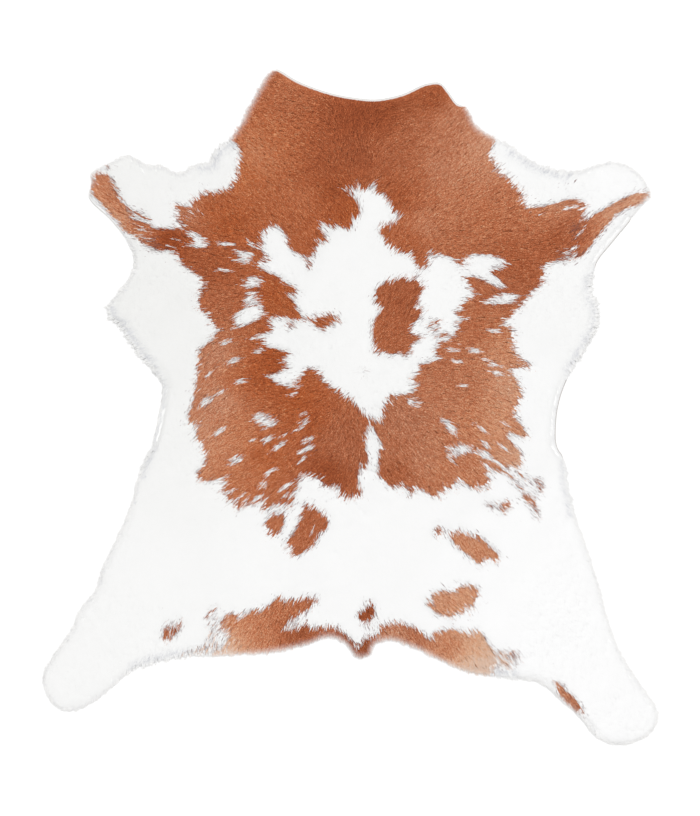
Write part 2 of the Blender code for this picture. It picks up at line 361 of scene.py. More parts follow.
# %% The white blaze in the middle of the saddle: stretch, landmarks (x, y) in mm
BLAZE = (
    ("top", ((-12, 302), (5, 298), (7, 310), (12, 300), (24, 300), (34, 313))),
    ("right of the neck", (
        (33, 296), (44, 292), (54, 280), (58, 268), (72, 262), (62, 254), (50, 253), (38, 249),
        (42, 236), (51, 222), (64, 212), (82, 210), (84, 203), (94, 190), (106, 188),
        (111, 200), (106, 212), (130, 209), (148, 205), (143, 200))),
    ("right shoulder", (
        (152, 194), (160, 193), (165, 204), (165, 212), (190, 210), (208, 206), (222, 199),
        (208, 192), (192, 188), (205, 178), (216, 167), (205, 164), (187, 174), (170, 180),
        (155, 178))),
    ("right flank", (
        (165, 165), (173, 155), (158, 143), (150, 138), (155, 132), (140, 130), (148, 124),
        (164, 120), (143, 114), (150, 108), (145, 100), (138, 89), (120, 90), (120, 83),
        (112, 75), (125, 64), (105, 57), (92, 56), (95, 45), (79, 35), (93, 31), (90, 22),
        (80, 14), (66, 15), (60, 17), (52, 8), (44, -5), (44, -21))),
    ("below the whorl", (
        (35, -20), (24, -13), (19, -12), (12, -8), (13, -2), (3, 8), (-8, 18), (-22, 25),
        (-32, 35), (-44, 48))),
    ("left flank", (
        (-57, 53), (-62, 50), (-65, 42), (-78, 34), (-72, 22), (-95, 28), (-115, 41),
        (-100, 44), (-84, 53), (-92, 62), (-81, 71), (-97, 78), (-113, 80), (-122, 85),
        (-118, 92), (-128, 99), (-108, 101), (-103, 104), (-113, 120), (-95, 123), (-85, 121),
        (-66, 116), (-61, 119))),
    ("left shoulder", (
        (-72, 130), (-77, 143), (-87, 153), (-70, 155), (-75, 165), (-90, 167), (-88, 174),
        (-112, 184), (-122, 188), (-125, 198), (-112, 203), (-120, 213), (-124, 222),
        (-120, 240), (-103, 250), (-97, 248), (-88, 236), (-88, 222))),
    ("left of the neck", (
        (-72, 210), (-56, 203), (-50, 208), (-43, 218), (-43, 226), (-30, 227), (-31, 233),
        (-39, 245), (-38, 253), (-28, 249), (-10, 248), (2, 243), (3, 258), (14, 264),
        (16, 270), (13, 277), (6, 292))),
)
print("blaze:", len(rows_of(BLAZE)), "landmarks")

# %% Brown spots on the white: name, landmarks (x, y) in mm
SPOTS = (
    ("mid back", (
        (48, 172), (60, 176), (80, 179), (98, 174), (103, 165), (98, 153), (92, 143), (99, 136),
        (103, 128), (94, 119), (85, 107), (84, 101), (102, 95), (90, 88), (85, 83), (88, 78),
        (80, 66), (65, 73), (50, 70), (33, 74), (30, 80), (33, 88), (29, 103), (33, 117),
        (43, 130), (37, 135), (32, 150), (36, 160))),
    ("left of the back", (
        (-57, 118), (-42, 126), (-33, 129), (-16, 124), (-10, 117), (-22, 115), (-30, 107),
        (-35, 102), (-48, 111))),
    ("by the left flank", ((-90, 107), (-86, 117), (-73, 113), (-84, 104))),
    ("left shoulder bit", ((-63, 189), (-58, 200), (-50, 199), (-54, 190))),
    ("left loin", (
        (-108, -150), (-88, -153), (-93, -168), (-100, -182), (-106, -184), (-124, -168),
        (-113, -160))),
    ("left rump spot", (
        (-64, -138), (-58, -136), (-42, -145), (-28, -155), (-31, -171), (-43, -183),
        (-50, -196), (-66, -206), (-75, -213), (-84, -207), (-82, -200), (-93, -198),
        (-78, -178), (-70, -160), (-67, -150))),
    ("right loin bit", ((118, -172), (124, -168), (130, -174), (124, -186), (118, -184))),
    ("right loin", (
        (137, -177), (150, -172), (172, -184), (179, -181), (198, -200), (213, -216),
        (206, -222), (195, -215), (184, -225), (172, -216), (160, -206), (146, -195))),
    ("right rump spot", (
        (104, -274), (115, -275), (111, -263), (130, -258), (138, -262), (157, -249),
        (172, -252), (183, -263), (175, -273), (176, -279), (163, -289), (140, -297),
        (122, -292), (109, -280))),
    ("right hind leg", (
        (286, -382), (298, -396), (312, -408), (323, -422), (328, -431), (317, -432),
        (303, -418), (292, -404), (287, -394))),
    ("left thigh", (
        (-259, -300), (-254, -304), (-249, -309), (-240, -304), (-232, -293), (-236, -310),
        (-243, -320), (-255, -331), (-263, -330), (-261, -317), (-257, -309))),
    ("left rump", (
        (-182, -303), (-172, -292), (-156, -292), (-151, -297), (-133, -284), (-119, -285),
        (-98, -265), (-88, -273), (-84, -269), (-72, -270), (-58, -266), (-42, -271),
        (-50, -279), (-63, -290), (-80, -299), (-96, -312), (-82, -311), (-60, -303),
        (-52, -310), (-38, -309), (-22, -308), (-6, -320), (4, -332), (8, -346), (-30, -340),
        (-100, -360), (-170, -364), (-192, -358), (-193, -346), (-184, -342), (-175, -337),
        (-171, -327), (-173, -316), (-182, -309))),
    ("tail, upper", (
        (20, -280), (28, -273), (34, -275), (34, -290), (30, -308), (24, -306), (12, -303),
        (10, -292))),
    ("tail and right rump", (
        (11, -334), (22, -322), (41, -318), (41, -308), (52, -303), (75, -304), (92, -312),
        (108, -323), (112, -327), (118, -316), (132, -314), (137, -310), (165, -319),
        (172, -314), (184, -318), (190, -330), (196, -338), (202, -344), (205, -353),
        (203, -364), (201, -373), (194, -388), (120, -372), (60, -345), (30, -360), (0, -362),
        (-8, -345), (6, -336))),
)
print("brown spots:", len(SPOTS), "of", len(rows_of(SPOTS)), "landmarks")

# %% White islands in the brown: name, landmarks (x, y) in mm
ISLANDS = (
    ("left elbow", (
        (-229, 243), (-210, 239), (-201, 227), (-202, 219), (-224, 221), (-216, 229),
        (-224, 238))),
    ("left shoulder", (
        (-164, 217), (-138, 213), (-136, 210), (-146, 196), (-158, 203), (-148, 207))),
    ("ladder, top", ((-130, 181), (-123, 172), (-135, 163), (-149, 167), (-140, 178))),
    ("ladder, foot", (
        (-132, 161), (-128, 148), (-122, 130), (-123, 124), (-140, 114), (-158, 107),
        (-160, 128), (-143, 138), (-145, 148), (-138, 160))),
    ("left ribs", (
        (-124, -8), (-117, -16), (-106, -21), (-104, -27), (-114, -32), (-125, -25),
        (-133, -20), (-130, -13))),
    ("right shoulder", (
        (182, 143), (200, 149), (215, 156), (235, 154), (230, 148), (222, 141), (190, 141))),
    ("right of the back", ((85, 12), (93, 7), (98, 3), (87, -4), (84, -1))),
    ("right ribs, fore", ((125, -18), (140, -22), (147, -30), (141, -43), (133, -28))),
    ("right ribs, hind", (
        (168, -53), (150, -57), (137, -60), (140, -66), (135, -73), (138, -78), (148, -68),
        (166, -64))),
)
print("white islands:", len(ISLANDS), "of", len(rows_of(ISLANDS)), "landmarks")

# %% [markdown]
# Besides the patches there are flecks, each a lock or two of hair of the other
# colour. A fleck is a small ellipse that points the way the hair lies there.

# %% Flecks: where, then x, y, length, width in mm and the angle from +X in degrees
WHITE_FLECKS = (
    ("left shoulder", (
        (-173, 225, 20, 5, 0), (-135, 223, 10, 6, 150), (-176, 188, 18, 4, 170))),
    ("left foreleg", (
        (-296, 251, 16, 1.5, 150), (-287, 235, 14, 2, 152), (-291, 245, 12, 1.5, 152),
        (-240, 230, 8, 1.5, 160), (-252, 222, 12, 1.5, 165))),
    ("left flank", (
        (-173, 88, 8, 8, 30), (-161, 63, 14, 9, 20), (-127, 76, 14, 5.5, 40),
        (-130, 94, 15, 4.5, 12), (-196, 44, 12, 4, 45), (-151, 34, 14, 6.5, 32),
        (-200, 6, 17, 10, 35), (-180, 18, 17, 3.5, 28), (-78, 15, 7, 5.5, 20))),
    ("left ribs", (
        (-114, -47, 14, 7.5, 15), (-135, -49, 8, 3, 15), (-99, -57, 19, 5.5, 33),
        (-93, -43, 7, 2.5, 50), (-183, -37, 15, 6.5, 32), (-63, -24, 12, 8, 50),
        (-70, -33, 8, 3.5, 30), (-65, -12, 8, 3.5, 40), (-58, -48, 12, 8, 20),
        (-59, -61, 24, 6.5, 25), (-66, -76, 12, 4.5, 40), (-158, -76, 19, 10, 10))),
    ("left loin", (
        (-112, -93, 17, 5, 25), (-121, -110, 14, 5, 100), (-89, -113, 22, 5, 30),
        (-90, -126, 12, 3, 55), (-83, -128, 12, 3, 55), (-165, -119, 14, 4, 20),
        (-178, -102, 16, 3, 25), (-152, -127, 10, 3, 50), (-147, -134, 10, 3, 50),
        (-128, -129, 16, 6, 25), (-122, -136, 12, 5, 45))),
    ("right foreleg", (
        (309, 276, 14, 5, 25), (265, 266, 10, 1.3, 20), (321, 240, 11, 2.4, 32),
        (325, 248, 9, 1.3, 50))),
    ("right flank", (
        (201, 104, 14, 7, -8), (142, 77, 9, 5, 0), (172, 76, 11, 8, -12), (188, 64, 9, 4, -15),
        (149, 61, 9, 4.5, 0), (201, 56, 11, 7, -8), (205, 44, 10, 8, -20),
        (157, 27, 8, 4, -10))),
    ("right ribs", (
        (184, -33, 14, 6, -35), (188, -54, 12, 7, -45), (187, -69, 20, 12, -30),
        (190, -85, 16, 5, -30), (205, -80, 24, 4, -30), (217, -27, 8, 3, -40),
        (215, -60, 16, 3, -40))),
    ("rump", ((-53, -176, 6, 3, 60), (-40, -178, 6, 3, 60), (-47, -187, 6, 3, 60))),
)
BROWN_FLECKS = (
    ("right ribs", (
        (266, -116, 14, 9, 125), (259, -106, 17, 3.5, 125), (264, -106, 15, 3, 128),
        (268, -108, 10, 2, 130), (251, -129, 14, 11, 120), (242, -126, 18, 3.5, 130),
        (246, -134, 15, 3.5, 125), (259, -141, 20, 4, 112), (261, -152, 15, 4, 108),
        (254, -141, 12, 3, 115), (217, -142, 16, 11, 125), (208, -140, 17, 3.5, 125),
        (211, -146, 15, 3, 130), (223, -138, 14, 3, 120), (196, -140, 15, 4, 135),
        (191, -137, 11, 3, 135), (234, -112, 18, 3, 140), (239, -98, 15, 3, 140),
        (244, -104, 14, 3, 135), (227, -106, 14, 2.5, 138))),
    ("mid back", ((117, 114, 24, 6, 12), (117, 105, 16, 5, 10), (128, 97, 22, 6, 12))),
    ("left foreleg", (
        (-284, 261, 14, 4, 165), (-337, 331, 12, 3, 130), (-227, 266, 10, 3, 145),
        (-320, 290, 13, 2.5, 140), (-326, 304, 12, 2.5, 138), (-329, 312, 11, 2, 135),
        (-311, 275, 15, 3, 145), (-298, 268, 16, 3, 150), (-290, 262, 14, 2, 155),
        (-321, 253, 14, 2.5, 125), (-315, 245, 12, 4, 130))),
    ("ladder", ((-138, 153, 16, 2, 5), (-139, 139, 18, 2.5, 0), (-130, 146, 10, 1.5, 0))),
    ("left rump", (
        (-216, -346, 16, 5, 72), (-224, -349, 14, 4, 75), (-234, -350, 12, 3, 75),
        (-207, -343, 16, 4, 75), (-200, -345, 16, 4, 75), (-211, -348, 12, 3, 78),
        (-196, -322, 18, 2.2, 70), (-191, -331, 18, 3, 72), (-187, -318, 16, 2, 70),
        (-202, -333, 14, 2, 70), (-186, -335, 14, 3, 75), (-191, -288, 28, 3, 52),
        (-198, -293, 15, 3, 60), (-188, -302, 18, 2.5, 62), (-182, -306, 13, 2, 62),
        (-197, -306, 12, 2, 66))),
    ("right rump", (
        (212, -348, 18, 3.5, 118), (218, -350, 18, 3.5, 118), (225, -350, 17, 3.5, 118),
        (231, -350, 15, 3.5, 120), (237, -353, 12, 3, 118), (212, -360, 18, 4.5, 108),
        (218, -362, 16, 5, 108), (224, -364, 10, 3, 110), (231, -364, 8, 3, 125))),
    ("right foreleg", (
        (306, 209, 16, 3, 25), (316, 205, 16, 3, 20), (299, 203, 14, 2.5, 20),
        (309, 214, 14, 2.5, 38))),
)

# Where white hairs grow among the brown: x, y, radius in mm, and the share of white hairs
MIXED = (
    (245, 48, 16, 0.35), (-218, 268, 9, 0.15), (-246, -312, 14, 0.35), (206, -139, 8, 0.4),
    (264, -111, 12, 0.4), (195, -139, 9, 0.4), (-205, -335, 26, 0.45), (-226, -349, 12, 0.4),
    (230, -357, 13, 0.3), (252, 295, 14, 0.25), (-190, -304, 12, 0.35), (233, -104, 16, 0.35),
    (261, -150, 12, 0.4), (30, -312, 8, 0.35), (120, 108, 14, 0.2), (-288, 238, 12, 0.08),
    (308, 211, 9, 0.2),
)
# Where hair is dull mauve besides at borders, partly painted shade: x, y, radius in mm,
# and the share of such hair
MAUVE_AND_SHADE_SPOTS = (
    (305, 208, 10, 0.8), (-337, 331, 7, 0.8), (231, -351, 9, 0.6), (243, -122, 13, 0.2),
    (261, -108, 8, 0.45), (210, -142, 9, 0.35), (195, -140, 8, 0.7), (-274, 217, 8, 0.8),
    (-281, 229, 8, 0.6), (-326, 300, 9, 0.4), (-303, 268, 12, 0.3), (260, -150, 9, 0.6),
    (303, 309, 8, 0.3), (115, 106, 10, 0.5), (318, 247, 9, 0.5), (-252, -308, 10, 0.25),
)


def in_flecks(points, flecks):
    """True where a point is in any fleck: inside the ellipse (along/a)^2 + (across/b)^2 < 1."""
    found = np.zeros(len(points), bool)
    for x, y, length, width, angle in rows_of(flecks):
        turn = math.radians(angle)
        dx, dy = points[:, 0] - x, points[:, 1] - y
        along = dx * math.cos(turn) + dy * math.sin(turn)
        across = dy * math.cos(turn) - dx * math.sin(turn)
        found |= (2 * along / length)**2 + (2 * across / width)**2 < 1
    return found


def brown_at(points):
    """How brown the coat is at each point, from 0 for white to 1 for chestnut.

    Brown is the saddle without the blaze, or a spot, or a brown fleck, less the white
    islands and flecks.
    """
    brown = inside(points, rows_of(SADDLE)) & ~inside(points, rows_of(BLAZE))
    for _, loop in SPOTS:
        brown |= inside(points, loop)
    for _, loop in ISLANDS:
        brown &= ~inside(points, loop)
    brown = (brown | in_flecks(points, BROWN_FLECKS)) & ~in_flecks(points, WHITE_FLECKS)
    return brown.astype(float)


def bell_round(points, x, y, radius):
    """A bell curve round a place: exp(-(distance / radius)^2)."""
    return np.exp(-((points[:, 0] - x)**2 + (points[:, 1] - y)**2) / radius**2)


print("flecks:", len(rows_of(WHITE_FLECKS)), "white and", len(rows_of(BROWN_FLECKS)), "brown")

# %% [markdown]
# Brown hair isn't one brown: it is dark down the middle of the neck and behind the
# ribs, lighter on the shoulders and the rump, here more rosy and there more
# orange. Part of that is the hair's own colour, and part is painted light and shade from
# the way the hair lies. Two numbers at some places are enough, with everything between blended.

# %% Colour of the brown, with painted light and shade: where, then x, y in mm, tone from 0,
# dark, to 1, light (more is tan), and warmth from 0, rosy, to 1, orange
BROWNS_AND_SHADING = (
    ("neck and right shoulder", (
        (10, 402, 0.0, 0.75), (42, 409, 0.0, 0.75), (14, 350, 0.1, 0.55), (-35, 330, 0.2, 0.65),
        (114, 430, 0.15, 0.7), (-90, 430, 0.38, 0.55), (-105, 370, 0.45, 0.75),
        (-126, 350, 0.6, 0.6), (-60, 290, 0.45, 0.65), (-28, 301, 0.15, 0.85),
        (0, 268, 0.27, 0.95), (168, 343, 0.62, 0.3), (140, 287, 0.52, 0.45),
        (90, 380, 0.35, 0.45), (130, 380, 0.5, 0.3), (150, 400, 0.52, 0.15),
        (50, 350, 0.28, 0.45), (68, 290, 0.2, 0.75), (90, 318, 0.34, 0.55),
        (102, 248, 0.56, 0.28), (122, 328, 0.55, 0.2), (86, 228, 0.3, 0.7),
        (190, 250, 0.45, 0.55), (186, 361, 0.65, 0.0))),
    ("left shoulder and foreleg", (
        (-252, 231, 0.0, 1.0), (-200, 270, 0.36, 0.95), (-218, 268, 0.47, 0.0),
        (-170, 250, 0.3, 0.95), (-147, 320, 0.48, 0.85), (-189, 189, 0.2, 0.7),
        (-180, 145, 0.35, 0.5), (-105, 154, 0.3, 0.95), (-345, 310, 0.56, 0.35),
        (-330, 290, 0.52, 0.45), (-300, 250, 0.34, 0.6), (-350, 276, 0.85, 0.2),
        (-322, 247, 0.95, 0.0), (-304, 228, 0.7, 0.1))),
    ("right flank and foreleg", (
        (245, 189, 0.25, 0.6), (225, 200, 0.28, 0.65), (225, 165, 0.32, 0.45),
        (287, 231, 0.17, 0.7), (287, 273, 0.63, 0.2), (262, 263, 0.52, 0.55),
        (303, 245, 0.3, 0.4), (340, 245, 0.43, 0.35), (356, 236, 0.9, 0.2),
        (341, 212, 1.1, 0.0), (322, 226, 0.05, 0.6), (330, 240, 0.22, 0.4),
        (376, 258, 0.85, 0.2), (371, 280, 0.68, 0.1), (398, 288, 0.76, 0.0))),
    ("mid back", ((70, 147, 0.18, 0.5), (65, 110, 0.3, 0.5))),
    ("left ribs", (
        (-105, 63, 0.2, 1.0), (-127, 40, 0.25, 1.0), (-70, 7, 0.3, 1.0), (-182, 7, 0.64, 0.0),
        (-157, 40, 0.45, 0.75), (-186, 67, 0.55, 0.0), (-157, -40, 0.6, 0.6),
        (-182, -63, 0.65, 0.4), (-200, -40, 0.65, 0.1), (-50, -25, 0.25, 0.9),
        (-28, -91, 0.0, 0.8), (-20, -40, 0.27, 0.35), (-10, -65, 0.33, 0.3),
        (-120, -70, 0.38, 0.9), (-150, -95, 0.53, 0.6))),
    ("right ribs", (
        (63, -91, 0.26, 0.55), (60, -72, 0.4, 0.3), (80, -20, 0.45, 0.1), (100, -75, 0.55, 0.2),
        (140, 50, 0.45, 0.35), (160, 20, 0.52, 0.4), (176, 108, 0.42, 0.5), (210, 77, 0.7, 0.4),
        (200, -20, 0.78, 0.4), (166, -20, 0.6, 0.5), (140, -10, 0.52, 0.3), (225, 30, 0.8, 0.1),
        (240, -80, 0.93, 0.0), (130, -90, 0.55, 0.45), (251, -130, 0.78, 0.6),
        (215, -141, 0.67, 0.8))),
    ("rump", (
        (-56, -161, 0.32, 0.5), (-105, -168, 0.45, 0.5), (168, -189, 0.72, 0.4),
        (145, -275, 0.83, 0.35), (24, -294, 0.0, 0.75), (15, -335, 0.02, 0.5),
        (-77, -318, 0.15, 0.45), (91, -318, 0.4, 0.2), (60, -320, 0.65, 0.0),
        (-154, -305, 0.62, 0.5), (-100, -285, 0.5, 0.5), (-128, -320, 0.54, 0.5),
        (140, -340, 0.58, 0.4), (176, -345, 0.88, 0.4), (190, -358, 1.35, 0.0),
        (178, -366, 1.5, 0.0), (188, -371, 1.5, 0.0), (207, -368, 1.6, 0.0),
        (224, -366, 1.5, 0.0), (-206, -347, 1.35, 0.6), (-226, -349, 1.3, 0.0),
        (-176, -340, 1.3, 0.0), (-165, -347, 1.3, 0.0), (-150, -335, 0.7, 0.3),
        (-247, -313, 0.2, 0.2), (-192, -292, 0.3, 0.3))),
    ("flecks and hind legs", (
        (264, -111, 0.4, 0.2), (243, -118, 0.55, 0.3), (261, -148, 0.45, 0.1),
        (230, -354, 0.3, 0.2), (316, -420, 0.45, 0.1))),
)
# Painted shade of the white, greyer on the left where less light fell: where, then x, y in mm
# and tone from 0, greyish, to 1, snow white
WHITE_SHADING = (
    ("left side", (
        (-280, 147, 0.15), (-330, 130, 0.1), (-270, 60, 0.25), (-252, -20, 0.35),
        (-300, 310, 0.3), (-200, 330, 0.35), (-252, -140, 0.5), (-260, -220, 0.65),
        (-370, -370, 0.6), (-200, -310, 0.65))),
    ("middle", (
        (-120, -230, 0.75), (28, -210, 0.8), (28, 20, 0.6), (-10, 170, 0.6), (-100, 220, 0.6),
        (40, 230, 0.6), (120, 150, 0.7))),
    ("right side", (
        (210, -273, 1.0), (300, -200, 1.0), (350, -378, 1.0), (260, 20, 0.85), (290, 110, 0.65),
        (330, 130, 0.6), (320, 190, 0.7), (280, 310, 0.7), (380, 318, 0.9))),
)
PLACE_SPREAD = 14.0               # mm, how near a place it rules alone
AROUND = 6.0                      # mm, how far off hair still counts as around a place
NEIGHBOURS = np.arange(-4, 5)     # points of the grid that are within reach of that


def blend_places(points, table):
    """The table's last columns at each point: their mean, a place weighed by
    1 / (distance^2 + spread^2)^1.5."""
    rows = np.array(rows_of(table), float)
    square = ((points[:, None] - rows[None, :, :2])**2).sum(axis=2)
    weight = (square + PLACE_SPREAD**2)**-1.5
    return weight @ rows[:, 2:] / weight.sum(axis=1)[:, None]


def colour_map():
    """On the same grid as the distances: share of brown around, tone and warmth of the brown,
    with its painted light and shade, and the painted shade of the white.

    The share is the mean of neighbours weighed by the bell curve exp(-(distance / AROUND)^2),
    first along x and then along y.
    """
    points = GRID_LOW + GRID * cells_of(GRID_SHAPE)
    share = brown_at(points).reshape(GRID_SHAPE)
    weight = np.exp(-(NEIGHBOURS * GRID / AROUND)**2)
    weight = weight / weight.sum()
    for axis in (0, 1):
        share = sum(w * np.roll(share, k, axis=axis) for k, w in zip(NEIGHBOURS, weight))
    layers = np.column_stack([share.ravel(), blend_places(points, BROWNS_AND_SHADING),
                              blend_places(points, WHITE_SHADING)])
    return layers.astype(np.float32).reshape(*GRID_SHAPE, -1)


coat_map = colour_map()
print("brown, share of the map:", round(float(coat_map[..., 0].mean()), 3))

# %% [markdown]
# ## Which way the hair lies
#
# A calf's coat is combed by the way it grows. On this hide all hair leaves one
# whorl in the middle of the back: forwards over the neck, sideways down the
# shoulders and ribs, and back over the rump. It could be a vector field from a
# formula, but no formula knows where hair turns on a leg, so the direction is
# blended from arrows at named places, and only the whorl is a formula.

# %% Arrows of the hair: place, then x, y in mm and the angle from +X in degrees
FLOW = (
    ("neck", (
        (-60, 400, 178), (-60, 340, 165), (-135, 395, 150), (10, 405, 92), (15, 345, 92),
        (60, 400, 15), (60, 345, 12), (130, 350, 40), (185, 375, 50))),
    ("left shoulder", (
        (-150, 208, 182), (-195, 345, 115), (-250, 330, 120), (-120, 235, 135),
        (-130, 285, 147), (-140, 130, 200), (-75, 130, 145))),
    ("left foreleg", ((-260, 230, 172), (-330, 300, 147), (-350, 320, 138))),
    ("left elbow", ((-330, 135, 185), (-250, 110, 195), (-300, 85, 207))),
    ("blaze", (
        (5, 305, 95), (28, 308, 28), (-8, 298, 165), (-35, 240, 135), (45, 225, 60),
        (90, 198, 42), (60, 165, 55))),
    ("right shoulder", (
        (140, 200, -12), (205, 172, -28), (220, 148, 6), (250, 300, 50), (240, 240, 8),
        (180, 290, 28))),
    ("right foreleg", (
        (270, 280, 12), (320, 285, -10), (330, 265, 40), (330, 225, 55), (300, 322, 65),
        (400, 300, 28))),
    ("right elbow", (
        (260, 195, -5), (340, 110, -5), (320, 65, -60), (340, 170, 8), (345, 190, 45),
        (300, 25, -70))),
    ("left ribs", (
        (-195, 45, 225), (-105, 40, 180), (-165, -118, 203), (-152, -142, 230), (-30, 35, 200),
        (-60, -62, 212), (-250, -40, 238))),
    ("right ribs", (
        (38, -15, 300), (92, 36, 12), (145, 50, -5), (190, -50, -36), (240, -100, -40),
        (100, -120, -45))),
    ("rump", (
        (-60, -310, 248), (-170, -295, 228), (-210, -340, 262), (0, -335, 305), (18, -340, 270),
        (28, -200, 270), (120, -178, 297), (120, -265, 320), (90, -318, 300), (230, -365, 312),
        (-90, -200, 228))),
    ("hind legs", ((-330, -280, 233), (-400, -385, 231), (310, -250, 306), (400, -430, 309))),
)
WHORL = np.array([19.0, 46.0])    # mm, where the hair parts
WHORL_SIZE = 42.0                 # mm, how far its own pattern reaches
ARROW_SPREAD = 12.0               # mm, how near an arrow rules alone


def hair_way(points):
    """Unit direction of the hair at each point.

    The mean of the arrows' directions, weighed by 1 / (distance^2 + spread^2)^1.6,
    turns into straight out from the whorl by a bell curve round it.
    """
    x, y, angle = np.array(rows_of(FLOW), float).T
    near = (points[:, :1] - x)**2 + (points[:, 1:] - y)**2 + ARROW_SPREAD**2
    weight = near**-1.6
    weight /= weight.sum(axis=1)[:, None]
    turn = np.radians(angle)
    way = np.stack([weight @ np.cos(turn), weight @ np.sin(turn)], axis=1)
    away = points - WHORL
    distance = np.maximum(np.linalg.norm(away, axis=1), 1.0)[:, None]
    bell = np.exp(-(distance / WHORL_SIZE)**2)
    return unit(way * (1 - bell) + away / distance * bell)


print("arrows:", len(rows_of(FLOW)))

# %% [markdown]
# ## The depth of the coat
#
# The coat is deepest on the back, thinner on the legs, and rolls down at the rim.
# The lying hide also has a few soft troughs. The same formulas and numbers as in
# the CAD part keep the hair inside the solid that stands for it.

# %% Troughs: name, from (x, y), bend (x, y), to (x, y), half width, depth, all in mm
TROUGHS = (
    ("back line",         (SPINE_X, 300), (SPINE_X - 3, 60), (SPINE_X - 6, -320), 9.0, 0.5),
    ("neck fold",         (12, 424), (16, 380), (8, 330), 14.0, 0.5),
    ("left thigh crease", (-282, -142), (-268, -118), (-226, -116), 7.0, 1.2),
    ("left thigh hollow", (-262, -168), (-250, -146), (-232, -132), 22.0, 0.6),
    ("left elbow hollow", (-276, 152), (-256, 138), (-238, 112), 24.0, 0.8),
    ("left hind hollow",  (-396, -396), (-380, -376), (-360, -360), 22.0, 0.6),
)
ARC_STEPS = 24                    # points on the middle line of a trough


def trough_at(points):
    """Depth of the troughs at each point: a bell curve across each arc. An arc is the
    parabola that leaves its start towards the bend and comes to its end from there."""
    depth = np.zeros(len(points))
    t = np.linspace(0, 1, ARC_STEPS)[:, None]
    for _, start, bend, end, half_width, dip in TROUGHS:
        arc = ((1 - t)**2 * np.array(start) + 2 * t * (1 - t) * np.array(bend)
               + t**2 * np.array(end))
        near = ((points >= arc.min(axis=0) - 3 * half_width)
                & (points <= arc.max(axis=0) + 3 * half_width)).all(axis=1)
        square = ((points[near][:, None] - arc[None])**2).sum(axis=2).min(axis=1)
        depth[near] += dip * np.exp(-square / half_width**2)
    return depth


def smooth_rise(t):
    """A smooth step: 3t^2 - 2t^3, from 0 at t = 0 to 1 at t = 1."""
    t = np.clip(t, 0, 1)
    return t * t * (3 - 2 * t)


def blend(first, second, share):
    """The first where the share is 0 and the second where it is 1, by a straight line."""
    return first + (second - first) * share


def leg_share(points):
    """Share of leg at each point: it rises smoothly from 0 at the body's oval to 1."""
    past_body = np.hypot(points[:, 0] / BODY_HALF[0], points[:, 1] / BODY_HALF[1]) - 1
    return smooth_rise(past_body / LEG_SPREAD)


def coat_depth(points):
    """Depth of the coat at points away from the edge: thinner on the legs, uneven by a product
    of sines, and less in the troughs."""
    x, y = points.T
    depth = blend(COAT, LEG_COAT, leg_share(points))
    depth = depth + LUMP * (np.sin(x / 21 + 1.7 * np.sin(y / 47)) * np.sin(y / 26 + 0.8)
                            + 0.6 * np.sin(x / 11 - y / 14 + 2.1))
    return depth - trough_at(points)


def rim_share(gap, cut):
    """Share of that depth near the edge: it rises smoothly over RIM_ROLL, from nothing at the
    lip of a cut edge and from RIM_START elsewhere."""
    trimmed = smooth_rise((gap - LIP) / (RIM_ROLL - LIP))
    haired = blend(RIM_START, 1, smooth_rise(gap / RIM_ROLL))
    return trimmed * cut + haired * (1 - cut)


back = coat_depth(np.array([[SPINE_X + 40, -40]]))[0]
print("coat beside the back line, mm deep:", round(float(back), 2))

# %% [markdown]
# ## The skin
#
# Under the hair is leather about 2 mm thick, smooth where the hair grows from it
# and like suede on the flesh side, which lies on the floor. Only its raw edge shows,
# where a knife trimmed the neck, the belly and the forelegs.
#
# It could be a flat plane with Solidify, but the raw edge is what shows, so the skin
# is a profile carried round the outline: out from the middle over the hair side,
# round the edge, and back to the middle underneath. Where hair covers the edge, the
# skin stops a little inside it.
#
# A calf's skin is never seen through its coat, because short dense underfur closes
# it. The hair side is lifted into the coat to stand for that, more under the smooth
# white than under the brown.

# %% Skin
INSET = {"cut": -0.4, "short": 3.2, "tuft": 5.0}   # mm, how far the skin stops inside the edge
INSET_WIDTH = 9                   # steps over which the insets of two stretches blend
SKIN_STEP = 4                     # every fourth point of the edge, about 6 mm
TOP_RINGS, UNDER_RINGS = 50, 6
UNDERFUR = {"white": 0.88, "brown": 0.35}          # share of the coat's depth that it fills
# Rings of the rim: mm in from the edge, mm up from the floor, and how dark the shade
# line painted along a raw edge is there
RIM = ((3.6, SKIN, 0), (1.5, SKIN - 0.05, 0.35), (0.4, SKIN - 0.35, 0.8), (0.0, SKIN / 2, 1.0),
       (0.4, 0.3, 0.8), (1.5, 0.0, 0))
OUTERMOST = 3                     # the ring of the rim that is right at the edge
CENTRE = 0.02                     # size of the smallest ring, as a share of the rim
BARE = 0.05                       # a stretch whose painted edge shade is this dark has a bare lip
MAP_EDGE = 0.01                   # empty strip round each side of the skin on its map


def underfur_at(points):
    """Height of the underfur at each point: a share of the coat's depth, rim included."""
    layers = read_map(points)
    share = blend(UNDERFUR["white"], UNDERFUR["brown"], read_map(points, coat_map)[:, 0])
    return share * coat_depth(points) * rim_share(layers[:, GAP], layers[:, CUT])


